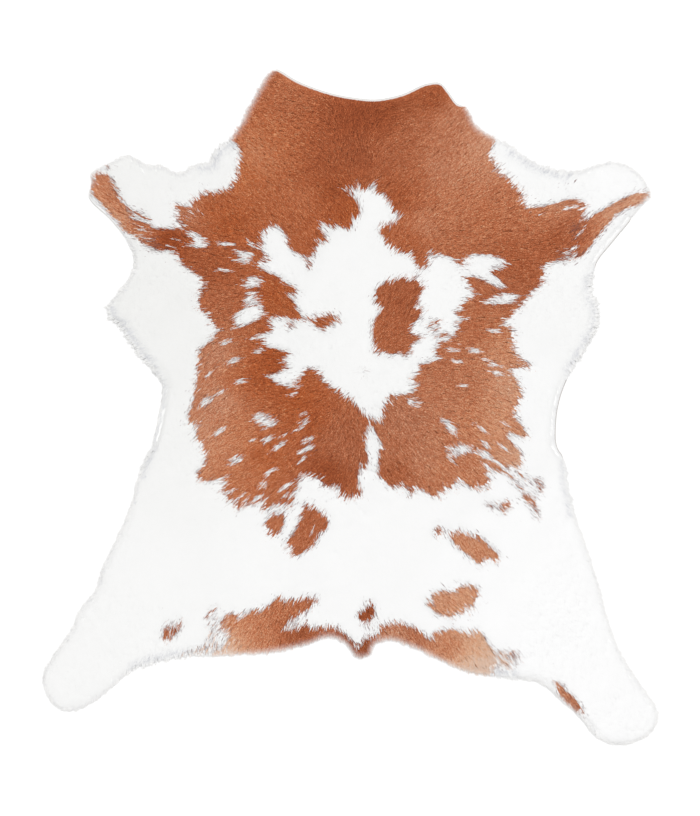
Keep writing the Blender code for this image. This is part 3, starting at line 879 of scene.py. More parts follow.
def skin_surface():
    """Points (ring, place round the edge) of the skin, with how brown, how dark the shade
    painted at a raw edge and which side each is.

    A ring of the rim is the edge moved in along its normal by a row's first number and
    lifted by its second; a ring inside is the first rim ring shrunk towards the middle.
    """
    inset = smooth_round(np.array([INSET[kind] for kind in edge_kind]), INSET_WIDTH)
    cut = edge_look[::SKIN_STEP, 2]
    base = (edge - edge_out * inset[:, None])[::SKIN_STEP]
    way = edge_out[::SKIN_STEP]
    rim = [np.column_stack([base - way * depth, np.full(len(base), up)])
           for depth, up, _ in RIM]
    rim[0][:, 2] += underfur_at(rim[0][:, :2])
    top = [np.column_stack([rim[0][:, :2] * s, SKIN + underfur_at(rim[0][:, :2] * s)])
           for s in np.linspace(CENTRE, 1, TOP_RINGS)[:-1]]
    under = [np.column_stack([rim[-1][:, :2] * s, np.zeros(len(base))])
             for s in np.linspace(1, CENTRE, UNDER_RINGS)[1:]]
    points = np.array(top + rim + under)
    raw, upper = np.zeros((2, *points.shape[:2]))
    # the dark line at a raw edge is painted shade, on the rim rings of trimmed stretches
    raw[len(top):len(top) + len(RIM)] = np.array([dark for _, _, dark in RIM])[:, None] * cut
    upper[:len(top) + OUTERMOST + 1] = 1
    brown = brown_at(points[..., :2].reshape(-1, 2)).reshape(points.shape[:2])
    brown[len(top) + 1:] *= cut < BARE            # the bare lip of a trimmed edge is pale
    return points, brown, raw, upper


def grid_faces(rings, around):
    """Quads between neighbouring rings, wound so that they face out of the skin, and a fan of
    triangles to one point at each end."""
    k = np.arange(around)
    after = np.roll(k, -1)
    quads = np.concatenate([np.stack([r * around + k, r * around + after,
                                      (r + 1) * around + after, (r + 1) * around + k], axis=1)
                            for r in range(rings - 1)])
    first, last = rings * around, rings * around + 1
    caps = [np.stack([np.full(around, first), after, k], axis=1),
            np.stack([np.full(around, last), (rings - 1) * around + k,
                      (rings - 1) * around + after], axis=1)]
    return quads.tolist() + np.concatenate(caps).tolist()


def add_values(mesh, **values):
    """Stores one number a vertex under each name, for the material to read."""
    for name, numbers in values.items():
        layer = mesh.attributes.new(name, "FLOAT", "POINT")
        layer.data.foreach_set("value", np.asarray(numbers, np.float32).ravel())


def side_map(mesh, places, upper):
    """Place of each corner on the skin's map: the hair side as from above on its left half,
    and the flesh side in the same way on its right half."""
    corner = np.empty(len(mesh.loops), int)
    mesh.loops.foreach_get("vertex_index", corner)
    start, total = np.empty((2, len(mesh.polygons)), int)
    mesh.polygons.foreach_get("loop_start", start)
    mesh.polygons.foreach_get("loop_total", total)
    below = np.repeat(np.minimum.reduceat(upper[corner] < 0.5, start), total)
    plan = (places[corner, :2] - places[:, :2].min(axis=0)) / np.ptp(places[:, :2], axis=0)
    plan[:, 0] = MAP_EDGE + plan[:, 0] * (0.5 - 2 * MAP_EDGE) + 0.5 * below
    plan[:, 1] = MAP_EDGE + plan[:, 1] * (1 - 2 * MAP_EDGE)
    return plan


def make_skin():
    """The skin as one closed mesh, with a map that shows its two sides next to each other."""
    points, brown, raw, upper = skin_surface()
    ends = np.array([[0, 0, SKIN + underfur_at(np.zeros((1, 2)))[0]], [0, 0, 0]], float)
    places = np.vstack([points.reshape(-1, 3), ends])
    places[:, :2] -= MIDDLE
    upper = np.append(upper, [1, 0])
    mesh = bpy.data.meshes.new("hide_skin")
    mesh.from_pydata((places * MM).tolist(), [], grid_faces(*points.shape[:2]))
    add_values(mesh, brown=np.append(brown, brown_at(ends[:, :2])), raw=np.append(raw, [0, 0]),
               upper=upper)
    mesh.shade_smooth()
    uv = mesh.uv_layers.new(name="OFBake")
    uv.data.foreach_set("uv", side_map(mesh, places, upper).ravel())
    rim = points[TOP_RINGS - 1 + OUTERMOST, :, :2]
    after = np.roll(rim, -1, axis=0)
    area = abs((rim[:, 0] * after[:, 1] - after[:, 0] * rim[:, 1]).sum()) / 2
    return put("hide_skin", mesh), area * MM * MM


skin, skin_area = make_skin()
print("skin:", len(skin.data.polygons), "faces,", round(skin_area, 3), "m2")

# %% [markdown]
# ## Where each hair grows
#
# Hair could be a particle system, but the model has to leave Blender as plain
# meshes, so each hair is a flat blade of two triangles, and stands for the few real
# hairs beside it. The roots stand on a jittered grid about 1 mm apart: a square grid
# with each root moved by less than half a step, which has no gaps and no rows.
#
# Hair isn't even: it sticks together in locks. A lock is a jittered point on a
# coarser grid, and a hair belongs to the nearest one. Hairs of one lock share a
# little turn, length, tone and lift, and lean together at their tips. Within a lock
# a few hairs side by side make a finer strand in the same way.

# %% Roots
SEED = 4
ROOT_STEP, ROOT_JITTER = 1.06, 0.45       # mm between roots, and share of it they are moved by
ROOT_GAP = {"cut": 3.2, "short": 4.0, "tuft": 5.9}     # mm in from the edge
rng = np.random.default_rng(SEED)


def by_kind(shares, values):
    """The values of the kinds of edge, mixed by each point's shares of those kinds."""
    return shares @ np.array([values[kind] for kind in KINDS])


def jittered_grid(step, low, shape, jitter):
    """Points of a square grid, each moved by up to jitter times the step."""
    cell = cells_of(shape)
    return low + step * (cell + rng.uniform(-jitter, jitter, cell.shape)), cell


low, extent = edge.min(axis=0), np.ptp(edge, axis=0)
shape = np.ceil(extent / ROOT_STEP).astype(int)
root, root_cell = jittered_grid(ROOT_STEP, low, shape, ROOT_JITTER)
at_root = read_map(root)
grows = at_root[:, GAP] > by_kind(at_root[:, SHARES], ROOT_GAP)
root, root_cell, at_root = root[grows], root_cell[grows], at_root[grows]
gap, tufted, farthest = at_root[:, GAP], at_root[:, TUFT], at_root[:, PASSES]
HAIRS = len(root)
print("hairs:", HAIRS)

# %% Locks
LOCK_STEP, STRAND_STEP = 4.8, 1.45        # mm between locks, and between strands
LOCK_JITTER = 0.48                        # share of that they are moved by
EXTREME = 2                       # times the typical size, as far as unevenness may go


def chance(*shape):
    """Random numbers, bell-shaped round 0 with a typical size of 1 and none past EXTREME."""
    return rng.normal(0, 1, shape).clip(-EXTREME, EXTREME)


def gather(points, step, count):
    """Gathers points round jittered centres: the way from the nearest centre to each point,
    and count random numbers, bell-shaped round 0, that all points of a centre share.

    The nearest is sought among the nine centres round a point's cell of the grid.
    """
    grid = np.ceil(extent / step).astype(int) + 4
    start = low - 2 * step
    centre = jittered_grid(step, start, grid, LOCK_JITTER)[0].reshape(*grid, 2)
    cell = np.clip(np.round((points - start) / step).astype(int), 1, grid - 2)
    best, found = np.full(len(points), np.inf), np.zeros(len(points), int)
    for di in (-1, 0, 1):
        for dj in (-1, 0, 1):
            i, j = cell[:, 0] + di, cell[:, 1] + dj
            square = ((points - centre[i, j])**2).sum(axis=1)
            nearer = square < best
            best = np.where(nearer, square, best)
            found = np.where(nearer, i * grid[1] + j, found)
    print(f"one every {step} mm:", len(np.unique(found)))
    return points - centre.reshape(-1, 2)[found], chance(count, int(np.prod(grid)))[:, found]


from_lock, (lock_turn, lock_length, lock_tone, lock_lift, lock_reach, lock_slip) = gather(
    root, LOCK_STEP, 6)
from_strand, (strand_turn, strand_tone, strand_slip) = gather(root, STRAND_STEP, 3)

# %% [markdown]
# ## How each hair lies
#
# From its root a hair runs along the hair's way there, turned a little by its lock
# and by itself. Near the edge it leans outwards, as hair does where the skin ends.
# Hair that would pass a knife-trimmed edge is trimmed, and elsewhere it may stand
# past the edge by an amount that its lock sets, which gives the rim its tufts.

# %% Length and direction
LENGTH, LEG_LENGTH = 12.0, 10.0   # mm
TUFT_MORE = 5.0                   # mm longer at tufted rims
TUFT_FROM, LEAN_FROM = 22.0, 18.0         # mm in from the edge where that and leaning begin
LEAN = 0.9                        # how much straight out counts against the hair's own way
LOCK_LENGTH, HAIR_LENGTH = 0.10, 0.12     # share that lengths vary by, typical
LOCK_TURN, STRAND_TURN, HAIR_TURN = 4.5, 3.0, 3.0     # degrees, typical
WAVE = 4.0                        # degrees, slow waves over the coat
TANGLE, TANGLE_SIZE = 80.0, 9.0   # degrees that hair is turned by round the whorl, and mm
CLUMP, STRAND_CLUMP, TUFT_CLUMP = 0.45, 0.35, 0.45    # share of the way tips lean to their line
RAGGED = (0.4, 0.45, 0.3, 0.2)    # shares of reach past the edge: plain, lock, strand, hair
TRIM_LOCK, TRIM_HAIR = 0.1, 0.3   # unevenness of a trim: share by lock, mm by hair
STUMP = 0.15                      # least share of a trimmed hair that is left
NEARLY = 0.1                      # mm, a hair that nears the edge by less counts as by this

near_tuft = tufted * (1 - smooth_rise(gap / TUFT_FROM))
length = blend(LENGTH, LEG_LENGTH, leg_share(root)) + TUFT_MORE * near_tuft
length = length * (1 + LOCK_LENGTH * lock_length + HAIR_LENGTH * chance(HAIRS))

lean = (1 - at_root[:, CUT]) * (1 - smooth_rise(gap / LEAN_FROM)) * LEAN
way = hair_way(root) + at_root[:, OUT] * lean[:, None]
x, y = root.T
wave = WAVE * np.sin(x / 9.0 + y / 23.0) * np.sin(y / 12.0 - x / 31.0)
tangled = TANGLE * bell_round(root, *WHORL, TANGLE_SIZE)
turn = np.radians(LOCK_TURN * lock_turn + STRAND_TURN * strand_turn + wave
                  + (HAIR_TURN + tangled) * chance(HAIRS))
way = unit(np.stack([way[:, 0] * np.cos(turn) - way[:, 1] * np.sin(turn),
                     way[:, 0] * np.sin(turn) + way[:, 1] * np.cos(turn)], axis=1))


def sideways(away):
    """The part of each offset that lies across its hair."""
    return away - (away * way).sum(axis=1)[:, None] * way


tip = (root + way * length[:, None] - sideways(from_strand) * STRAND_CLUMP
       - sideways(from_lock) * (CLUMP + TUFT_CLUMP * near_tuft)[:, None])
tip_gap = read_map(tip)[:, GAP]
ragged = farthest * (RAGGED[0] + RAGGED[1] * lock_reach + RAGGED[2] * strand_slip
                     + RAGGED[3] * rng.normal(0, 1, HAIRS))
trimmed = farthest * (1 + TRIM_LOCK * lock_reach) + TRIM_HAIR * rng.normal(0, 1, HAIRS)
reach = np.where(farthest > 0, ragged, trimmed)
keep = np.clip((gap + reach) / np.maximum(gap - tip_gap, NEARLY), STUMP, 1)
share = np.where(tip_gap < -reach, keep, 1.0)
run = (tip - root) * share[:, None]
print("typical hair, mm:", round(float(length.mean()), 1),
      "trimmed at the rim:", int((share < 1).sum()))

# %% [markdown]
# ## The colour of each hair
#
# The borders in the tables are where brown meets white on top of the coat, so a
# hair takes its colour from the place that its outer half covers, not from its
# root. Hairs of a strand take it from nearly the same place, so a strand is brown
# or white as a whole, and whole strands slip along their length. That tears the
# border into pointed tongues of hair, as on the real coat.
#
# White hair far from any brown is drawn wider and more level, so that its surface is
# closed and even. Where the colours meet, hair of the one shows through hair of the
# other, and the shade between those hairs is painted in too, so both look a dull, dark mauve.

# %% Pigment and tone
SHOWN_AT = 0.62                   # share of the run where a hair mostly shows
LOCK_SLIP, STRAND_SLIP, HAIR_SLIP = 0.9, 3.4, 2.2     # mm
SIDE_SLIP = 0.5                   # mm, across the hair
TOGETHER = 0.7                    # share of a strand's width that it gives up to one colour
LOCK_TONE, STRAND_TONE, HAIR_TONE = 0.01, 0.02, 0.15  # how much tones vary, typical: own colour and painted light and shade
WHITE_TONE = 0.2                  # share of that in the white
TONE_RANGE = (-0.25, 1.5)         # the darkest and lightest tones that the colours reach
PLAIN_FROM, PLAIN_OVER = 5, 10    # mm in from the edge where plain white begins
PLAIN_POWER, BORDER_POWER = 4, 1.3        # how fast plain white and dullness fall off
FLECK_FROM, FLECK_OVER = 0.4, 0.3         # share of brown around that makes white a fleck
MAUVE_AND_SHADE_AT_BORDER = {"white": 0.55, "brown": 0.28}    # share of the hair right at a border that is painted dull mauve and shade
DULLNESS = (0.35, 1.0)            # how far such a hair is mixed to that dark mauve
FLECK_CLEAR = 0.65                # how much less of that there is in a white fleck
DULL_WHITE = 0.3                  # share of the table's dullness that white hair takes
STRAND_LUCK, HAIR_LUCK = 0.6, 0.8         # what decides on a hair: its strand, and itself
WHORL_DOT, WHORL_DOT_SHADE = 3.0, 0.45   # the little parting at the whorl: mm, and how much painted shade its hair takes


def even(luck):
    """Turns bell-shaped numbers into nearly even ones from 1 down to 0: 1 / (1 + e^(1.7 x))."""
    return 1 / (1 + np.exp(1.7 * luck))


slip = LOCK_SLIP * lock_slip + STRAND_SLIP * strand_slip + HAIR_SLIP * rng.normal(0, 1, HAIRS)
side = np.stack([-way[:, 1], way[:, 0]], axis=1)
shown = (root + run * SHOWN_AT + way * slip[:, None] - from_strand * TOGETHER
         + side * SIDE_SLIP * rng.normal(0, 1, (HAIRS, 1)))
brown = brown_at(shown)
for x, y, radius, share in MIXED:
    brown[rng.random(HAIRS) < share * bell_round(shown, x, y, radius)] = 0
around, brown_tone, warm, white_shade = read_map(shown, coat_map).T
# the white's tone is its painted shade
tone = np.where(brown > 0.5, brown_tone, white_shade)
tone = tone + ((LOCK_TONE * lock_tone + STRAND_TONE * strand_tone + HAIR_TONE * chance(HAIRS))
               * blend(WHITE_TONE, 1, brown))
tone = (tone - TONE_RANGE[0]) / (TONE_RANGE[1] - TONE_RANGE[0])
plain = ((1 - brown) * (1 - around)**PLAIN_POWER
         * smooth_rise((gap - PLAIN_FROM) / PLAIN_OVER))
at_border = 1 - np.abs(2 * around - 1)
in_brown = (1 - brown) * smooth_rise((around - FLECK_FROM) / FLECK_OVER)
luck = even(STRAND_LUCK * strand_turn + HAIR_LUCK * rng.normal(0, 1, HAIRS))
share = (np.where(brown > 0.5, MAUVE_AND_SHADE_AT_BORDER["brown"], MAUVE_AND_SHADE_AT_BORDER["white"]) * at_border**BORDER_POWER
         * (1 - FLECK_CLEAR * in_brown))
for x, y, radius, most in MAUVE_AND_SHADE_SPOTS:
    share = share + most * bell_round(shown, x, y, radius) * blend(DULL_WHITE, 1, brown)
dull = (luck < share) * rng.uniform(*DULLNESS, HAIRS)
# painted shade in the little parting at the whorl
dull = np.maximum(dull, WHORL_DOT_SHADE * bell_round(shown, *WHORL, WHORL_DOT))
own = rng.random(HAIRS)           # a number of its own for each hair
print("brown hairs:", f"{brown.mean():.0%}", "dull hairs:", f"{(dull > 0.1).mean():.0%}")

# %% [markdown]
# ## From numbers to blades
#
# A blade has four corners: root, left, right and tip. It rises steeply from the
# root and flattens, so its middle is higher than a straight line would be. The
# height at each corner is the skin below it plus a share of the coat's depth there,
# and outside the skin it drops towards the floor.

# %% Corners
RISE_MIDDLE, MIDDLE_AT = 0.85, 0.42       # shares of a blade's height and of its run
RISE_PLAIN, PLAIN_EVEN = 0.98, 0.9        # plain white: that share of height, and how even
WIDTH = {"brown": 0.9, "white": 1.0, "plain white": 2.6}   # mm
WIDTH_VARIES = 0.15               # share that widths vary by, typical
ROLL, ROLL_MOST = 0.35, 1         # slope across a brown blade, typical and most
HAIR_STANDS, LOCK_STANDS = 0.08, 0.03     # shares that heights vary by
SHORT_RISE = 0.25                 # share of the height that the shortest blades reach
SUNK, TIP_UP = 0.3, 0.1           # mm, roots sink into the underfur, and tips stand up
LOWEST = 0.15                     # mm, no corner is lower
SKIN_FALL = 5.0                   # mm over which the ground falls off where the skin ends


def ground(points):
    """Height of what a hair lies on, and the coat's depth there, rim included.

    Skin is level to where it ends and then falls to almost nothing over SKIN_FALL.
    """
    layers = read_map(points)
    past_end = (layers[:, GAP] - by_kind(layers[:, SHARES], INSET)) / SKIN_FALL
    deep = coat_depth(points) * rim_share(layers[:, GAP], layers[:, CUT])
    return SKIN * smooth_rise(1 + past_end), deep


def corners():
    """The four corners of every blade, in mm: an array (hair, corner, xyz)."""
    wide = blend(WIDTH["white"], WIDTH["brown"], brown)
    wide = blend(wide, WIDTH["plain white"], plain) / 2 * (1 + WIDTH_VARIES * chance(HAIRS))
    roll = rng.normal(0, ROLL, HAIRS).clip(-ROLL_MOST, ROLL_MOST) * brown * wide
    uneven = 1 - PLAIN_EVEN * plain
    stands = ((1 - HAIR_STANDS * uneven * rng.random(HAIRS))
              * (1 + LOCK_STANDS * uneven * lock_lift))
    short = np.clip(np.linalg.norm(run, axis=1) / LEG_LENGTH, SHORT_RISE, 1)
    middle, end, off = root + run * MIDDLE_AT, root + run, side * wide[:, None]
    blade = np.zeros((HAIRS, 4, 3))
    for k, place in enumerate((root, middle + off, middle - off, end)):
        blade[:, k, :2] = place
    blade[:, 0, 2] = ground(root)[0] + underfur_at(root) - SUNK
    base, deep = ground(middle)
    level = base + deep * stands * short * blend(RISE_MIDDLE, RISE_PLAIN, plain)
    blade[:, 1, 2], blade[:, 2, 2] = level + roll, level - roll
    base, deep = ground(end)
    blade[:, 3, 2] = base + deep * stands * short + TIP_UP
    blade[:, :, 2] = np.maximum(blade[:, :, 2], LOWEST)
    blade[:, :, :2] -= MIDDLE
    return blade


blades = corners()
print("highest tip, mm:", round(float(blades[:, :, 2].max()), 2))

# %% [markdown]
# At the rim the coat thins out over the floor, and white hair there is painted a little
# grey as shade: in a narrow band just inside a short edge, and in a wider one where long
# tufts start. At its very tips it is so thin that light shows through, which makes
# them pale. Each corner of a blade carries how much painted grey shade it has and how pale it
# is.

# %% Painted grey shade of the rim
FRINGE_FROM, FRINGE_OVER = 7.4, 11.5      # mm in from the edge where hair starts to pale
TUFT_PALE = 0.3                   # share of that paleness that tufts lack
BAND = {"cut": (2.0, 2.5), "short": (1.0, 2.1), "tuft": (5.6, 4.8)}   # mm in, and mm wide
LOCK_SHIFT, STRAND_SHIFT = 1.2, 1.0       # mm that the band moves by, typical
# Share of the band's painted shade a hair takes: always, by its strand, by its lock, and most
GREY_ALWAYS, GREY_STRAND, GREY_LOCK, GREY_MOST = 0.6, 0.4, 0.2, 1.6


def rim_shade_at(layers, shift):
    """How much grey shade is painted on hair at each point near the rim: a bell curve of the
    distance in, round BAND's first number plus a shift and as wide as its second, times how
    grey that stretch's painted shade is."""
    place, width = np.array([BAND[kind] for kind in KINDS]).T
    bells = np.exp(-((layers[:, :1] - shift[:, None] - place) / width)**2)
    return (bells * layers[:, SHARES]).sum(axis=1) * layers[:, RIM_SHADE_COLUMN]


at_corner = read_map((blades[:, :, :2] + MIDDLE).reshape(-1, 2))
shift = np.repeat(LOCK_SHIFT * lock_slip + STRAND_SHIFT * strand_slip, 4)
grey = rim_shade_at(at_corner, shift).reshape(-1, 4)
rim_shading = (GREY_ALWAYS + GREY_STRAND * strand_tone + GREY_LOCK * lock_tone).clip(0, GREY_MOST)
# only white hair takes the rim's painted grey shade
grey *= ((1 - brown) * rim_shading)[:, None]
in_fringe = FRINGE_FROM - at_corner[:, GAP] + np.repeat(rng.normal(0, 1, HAIRS), 4)
pale = (smooth_rise(in_fringe / FRINGE_OVER) * (1 - at_corner[:, CUT])
        * (1 - TUFT_PALE * at_corner[:, TUFT])).reshape(-1, 4)
print("grey corners:", f"{(grey > 0.3).mean():.0%}")

# %% [markdown]
# ## Six layers of coat
#
# One mesh of all the hair would be too big to handle, so the coat is six sparse
# layers, each over the whole hide. Of every 3 by 2 roots each layer has one, so a
# layer's hairs also stand in a grid of their own. That gives each hair a small cell
# of the layer's map, in the order that the hairs stand, and a picture baked on that
# map looks like the hide from above.
#
# Light passes through real hair and softens its shading. A flat blade would catch
# the light like a metal strip, so its normals are turned most of the way upwards.

# %% Layers
ACROSS, DOWN = 3, 2
SOFTEN = {"white": 1.0, "brown": 0.85}   # share of straight up in each blade's normal
FACES = np.array([[0, 2, 1], [1, 2, 3]])  # corners of a blade's two triangles
ALONG = (0.0, MIDDLE_AT, MIDDLE_AT, 1.0)  # how far along the blade its corners are
ON_MAP = np.array([[0.5, 0.06], [0.06, 0.5], [0.94, 0.5], [0.5, 0.94]])   # in their cell


def make_layer(number):
    """One layer of blades: two triangles each, with its colour values and its map."""
    mine = (root_cell[:, 0] % ACROSS) * DOWN + root_cell[:, 1] % DOWN == number
    blade = blades[mine]
    count = len(blade)
    faces = (4 * np.arange(count)[:, None, None] + FACES[None]).reshape(-1, 3)
    mesh = bpy.data.meshes.new(f"coat_{number + 1}")
    mesh.vertices.add(4 * count)
    mesh.vertices.foreach_set("co", (blade * MM).astype(np.float32).ravel())
    mesh.loops.add(faces.size)
    mesh.loops.foreach_set("vertex_index", faces.ravel().astype(np.int32))
    mesh.polygons.add(len(faces))
    mesh.polygons.foreach_set("loop_start", np.arange(0, faces.size, 3, dtype=np.int32))
    mesh.update(calc_edges=True)
    mesh.shade_smooth()
    of_hair = {"brown": brown, "tone": tone, "warm": warm, "own": own, "dull": dull}
    add_values(mesh, along=np.tile(ALONG, count), grey=grey[mine], pale=pale[mine],
               **{name: np.repeat(numbers[mine], 4) for name, numbers in of_hair.items()})
    normal = np.empty((4 * count, 3), np.float32)
    mesh.vertices.foreach_get("normal", normal.ravel())
    up = blend(SOFTEN["white"], SOFTEN["brown"], np.repeat(brown[mine], 4))
    normal = normal * (1 - up[:, None]) + np.outer(up, [0, 0, 1])
    mesh.normals_split_custom_set_from_vertices(unit(normal))
    cells = np.array([shape[0] // ACROSS + 1, shape[1] // DOWN + 1])
    cell = root_cell[mine] // np.array([ACROSS, DOWN])
    place = ((cell[:, None] + ON_MAP[None]) / cells).reshape(-1, 2)[faces.ravel()]
    uv = mesh.uv_layers.new(name="OFBake")
    uv.data.foreach_set("uv", place.astype(np.float32).ravel())
    return put(mesh.name, mesh)


layers = [make_layer(number) for number in range(ACROSS * DOWN)]
print("triangles:", [len(layer.data.polygons) for layer in layers])

# %% [markdown]
# ## The finish of the hair
#
# Real hair is a little translucent and a little glossy. Brown blades are painted darker
# towards the root, as shade deep in the coat, and a noise along each paints in glints and
# shade. The material reads the numbers that each blade carries: how brown, which tone, and how
# far along it is. Two ramps turn the tone into brown and one into white, and the
# share of brown mixes them.

# %% Node helpers
def new_material(name):
    """An empty node material, a function that adds nodes to it, and one that sets its surface.

    A node is given by its kind, the name of the output wanted from it, what its inputs get
    (a fixed value or another node's output) and its settings.
    """
    material = bpy.data.materials.new(name)
    material.use_nodes = True
    tree = material.node_tree

    def feed(made, inputs):
        """Gives each input a fixed value, or links another node's output to it."""
        for key, given in inputs.items():
            if isinstance(given, bpy.types.NodeSocket):
                tree.links.new(given, made.inputs[key])
            else:
                made.inputs[key].default_value = given

    def node(kind, output, inputs=None, **settings):
        """Adds a node and returns the output wanted from it."""
        made = tree.nodes.new("ShaderNode" + kind)
        for key, value in settings.items():
            setattr(made, key, value)
        feed(made, inputs or {})
        return made.outputs[output]

    def surface(inputs):
        """Feeds the Principled node, which every material ends in."""
        feed(tree.nodes["Principled BSDF"], inputs)

    return material, node, surface


def linear(red, green, blue):
    """A colour as the eye reads it, 0 to 255, as the light it reflects: the sRGB curve."""
    light = [c / 12.92 if c <= 0.04045 else ((c + 0.055) / 1.055)**2.4
             for c in (red / 255, green / 255, blue / 255)]
    return (*light, 1.0)


def ramp(node, share, *stops):
    """The colour that a ramp through (place, colour) stops has at a share."""
    made = node("ValToRGB", "Color", {"Fac": share})
    elements = made.node.color_ramp.elements
    for i, (place, colour) in enumerate(stops):
        element = elements[i] if i < 2 else elements.new(place)
        element.position, element.color = place, colour
    return made


def value_of(node, name):
    """The number that the mesh carries under name."""
    return node("Attribute", "Fac", attribute_name=name)


def mixed(node, share, first, second, blend_type="MIX"):
    """A mix of two colours by a share."""
    return node("Mix", "Result", {"Factor": share, "A": first, "B": second},
                data_type="RGBA", blend_type=blend_type)


print("chestnut as reflected light:", [round(light, 3) for light in linear(186, 114, 81)])

# %% Hair material
GLINT = 0.75                      # how much painted glints and shade vary a brown hair's tone along it
GLINT_STRETCH = (7.0, 5000.0, 0.0)        # its noise: 7 steps along, and new for each hair
# Browns: place on the ramp, then the rosy and the orange brown as the eye reads them
CHESTNUTS = (
    (0.0, (117, 56, 26), (119, 48, 10)), (0.14, (139, 73, 41), (141, 61, 20)),
    (0.43, (186, 114, 81), (188, 93, 40)), (0.71, (220, 175, 142), (220, 156, 106)),
    (1.0, (216, 192, 176), (216, 186, 152)),
)
# Colours laid over hair by a number that it carries: the rim's painted grey shade, and the
# pale of thin tips that light shows through
OVER = (("grey", (198, 199, 203)), ("pale", (236, 235, 233)))


def hair_material():
    """Chestnut and white hair: each blade's tone, plus GLINT times a noise along it less half
    of GLINT for painted glints and shade, is read off the ramps, and the numbers that it
    carries mix them."""
    material, node, surface = new_material("coat_hair")
    along, brown, tone = (value_of(node, name) for name in ("along", "brown", "tone"))
    place = node("CombineXYZ", "Vector", {"X": along, "Y": value_of(node, "own")})
    stretched = node("VectorMath", "Vector", {0: place, 1: GLINT_STRETCH}, operation="MULTIPLY")
    noise = node("TexNoise", "Fac", {"Vector": stretched, "Scale": 1.0, "Detail": 0.0},
                 noise_dimensions="2D")
    raised = node("Math", "Value", {0: noise, 1: GLINT, 2: tone}, operation="MULTIPLY_ADD")
    glint = node("Math", "Value", {0: raised, 1: GLINT / 2}, operation="SUBTRACT")
    rosy = ramp(node, glint, *((at, linear(*colour)) for at, colour, _ in CHESTNUTS))
    orange = ramp(node, glint, *((at, linear(*colour)) for at, _, colour in CHESTNUTS))
    warmed = mixed(node, value_of(node, "warm"), rosy, orange)
    # painted shade: brown blades darker towards the root, deep in the coat
    root_shade = ramp(node, along, (0.0, (0.85, 0.84, 0.83, 1)), (0.4, (1, 1, 1, 1)))
    rooted = mixed(node, 1.0, warmed, root_shade, "MULTIPLY")
    # white hair from shaded grey to snow white, by its painted shade
    white = ramp(node, tone, (0.14, linear(220, 220, 218)), (0.71, linear(232, 232, 232)))
    # dark mauve for hair at a border: partly one colour through the other, partly painted shade
    mauve_and_shade_colour = mixed(node, brown, linear(138, 118, 118), linear(112, 71, 65))
    coloured = mixed(node, value_of(node, "dull"), mixed(node, brown, white, rooted), mauve_and_shade_colour)
    # the rim's painted grey shade, then the pale of thin tips, over the hair's colour
    for name, over in OVER:
        coloured = mixed(node, value_of(node, name), coloured, linear(*over))
    surface({"Base Color": coloured, "Roughness": 0.55, "Specular IOR Level": 0.2})
    return material


hair = hair_material()
for layer in layers:
    layer.data.materials.append(hair)
print("hair material:", len(hair.node_tree.nodes), "nodes")

# %% [markdown]
# ## The finish of the skin
#
# Between the hairs the skin takes after them, brownish under brown and pale under
# white, painted a little lighter than the white hair against the shade in the gaps. Round the
# whorl it is painted darker, as shade in the parting. Its raw edge is pale leather with a thin
# dark line of painted shade along it, and the flesh side is cream suede with a short nap.

# %% Skin material
NAP = 900.0                       # tufts of the nap in a metre
NAP_DEPTH = 0.0004                # m
WHORL_SHADE = 6.0                 # mm, how far the skin is painted darker round the whorl, as shade in the parting


def skin_material():
    """Leather: tinted by the hair above, suede below, painted shade round the whorl, and a
    dark line of painted shade at a raw edge.
    """
    material, node, surface = new_material("hide_leather")
    place = node("TexCoord", "Object")
    nap = node("TexNoise", "Fac", {"Vector": place, "Scale": NAP, "Detail": 6.0})
    suede = ramp(node, nap, (0.3, linear(205, 186, 160)), (0.7, linear(232, 218, 196)))
    # under white the skin is painted a little lighter than the hair, against the shade in the
    # gaps
    tint = mixed(node, value_of(node, "brown"), linear(237, 237, 236), linear(166, 94, 58))
    whorl = (*((WHORL - MIDDLE) * MM), (SKIN + underfur_at(WHORL[None, :])[0]) * MM)
    parting = node("VectorMath", "Value", {0: place, 1: whorl}, operation="DISTANCE")
    # painted shade: the skin grey round the whorl, where the hair parts
    whorl_shade_colour = ramp(node, parting, (0.0, linear(218, 218, 218)), (WHORL_SHADE * MM, (1, 1, 1, 1)))
    side = mixed(node, value_of(node, "upper"), suede, mixed(node, 1.0, tint, whorl_shade_colour, "MULTIPLY"))
    # painted shade: a dark line along a raw edge
    raw_edge_shaded = mixed(node, value_of(node, "raw"), side, linear(120, 112, 106))
    bump = node("Bump", "Normal", {"Strength": 0.35, "Distance": NAP_DEPTH, "Height": nap})
    surface({"Base Color": raw_edge_shaded, "Normal": bump, "Roughness": 0.85, "Specular IOR Level": 0.2})
    return material


leather = skin_material()
skin.data.materials.append(leather)
print("skin material:", len(leather.node_tree.nodes), "nodes")

# %% [markdown]
# ## What the pieces are
#
# The skin is a sheet laid flat on the floor, and the six layers of hair are the
# pieces that go with it. Together they stand for the CAD part's one solid.

# %% Pieces
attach(skin, "root")
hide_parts("hide")
for layer in layers:
    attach(layer, "root")
hide_size = np.ptp(edge, axis=0) * MM
print("flat size, m:", hide_size.round(3))

# %% [markdown]
# ## Floor and light
#
# The rug was photographed on white with soft light from everywhere. A white floor
# lit a little past white has no edge and hardly a shadow. The sky gives most of the
# light, and one wide sun gives the hair its direction. The floor is clear under the
# hide, and clear from below, so that the flesh side can be looked at too.

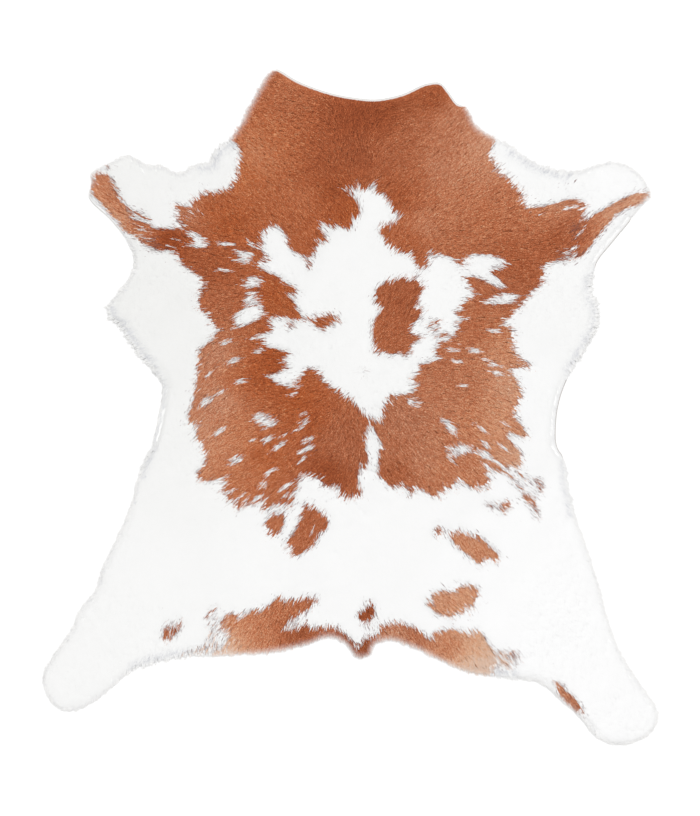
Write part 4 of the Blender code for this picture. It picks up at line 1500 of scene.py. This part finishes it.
# %% Floor
FLOOR = -0.0003                   # m, just below the hide, so that the two don't fight
FLOOR_HALF, FLOOR_NEAR = 6.0, 0.5         # m, half of the whole floor and of its fine middle
FLOOR_CELL = 0.02                 # m
CLEAR_FROM = 6.0                  # mm in from the hide's edge
PAPER = (0.93, 0.93, 0.93, 1)     # share of the light that it reflects


def floor_sheet():
    """A level floor whose points carry how far in from the hide's edge they lie.

    Its lines are FLOOR_CELL apart round the hide, and one more on each side is far off.
    """
    near = np.arange(-FLOOR_NEAR, FLOOR_NEAR + FLOOR_CELL / 2, FLOOR_CELL)
    lines = np.concatenate([[-FLOOR_HALF], near, [FLOOR_HALF]])
    count = len(lines)
    points = lines[cells_of((count, count))]
    corner = (np.arange(count - 1)[:, None] * count + np.arange(count - 1)).ravel()
    faces = corner[:, None] + np.array([0, count, count + 1, 1])
    mesh = bpy.data.meshes.new("floor")
    mesh.from_pydata([(x, y, FLOOR) for x, y in points.tolist()], [], faces.tolist())
    add_values(mesh, inward=read_map(points / MM + MIDDLE)[:, GAP])
    return put("floor", mesh)


floor = floor_sheet()
floor_material, node, surface = new_material("floor_paper")
near_edge = node("Math", "Value", {0: value_of(node, "inward"), 1: CLEAR_FROM},
                 operation="LESS_THAN")
seen = node("Math", "Value", {0: near_edge, 1: node("NewGeometry", "Backfacing")},
            operation="SUBTRACT", use_clamp=True)
surface({"Base Color": PAPER, "Roughness": 0.9, "Specular IOR Level": 0.1, "Alpha": seen})
floor.data.materials.append(floor_material)
print("floor:", len(floor.data.polygons), "faces")

# %% Light
SKY, SUN = 0.98, 1.2              # strengths
SUN_WIDE, SUN_TURN = 50, (-38, 24, 0)     # degrees
world = bpy.data.worlds.new("soft_light")
world.use_nodes = True
world.node_tree.nodes["Background"].inputs["Color"].default_value = (1, 1, 1, 1)
world.node_tree.nodes["Background"].inputs["Strength"].default_value = SKY
bpy.context.scene.world = world

sun = put("sun", bpy.data.lights.new("sun", "SUN"))
sun.data.energy = SUN
sun.data.angle = math.radians(SUN_WIDE)
sun.rotation_euler = [math.radians(angle) for angle in SUN_TURN]

bpy.context.scene.view_settings.view_transform = "Standard"
bpy.context.scene.view_settings.look = "None"
print("sky", SKY, "sun", SUN)
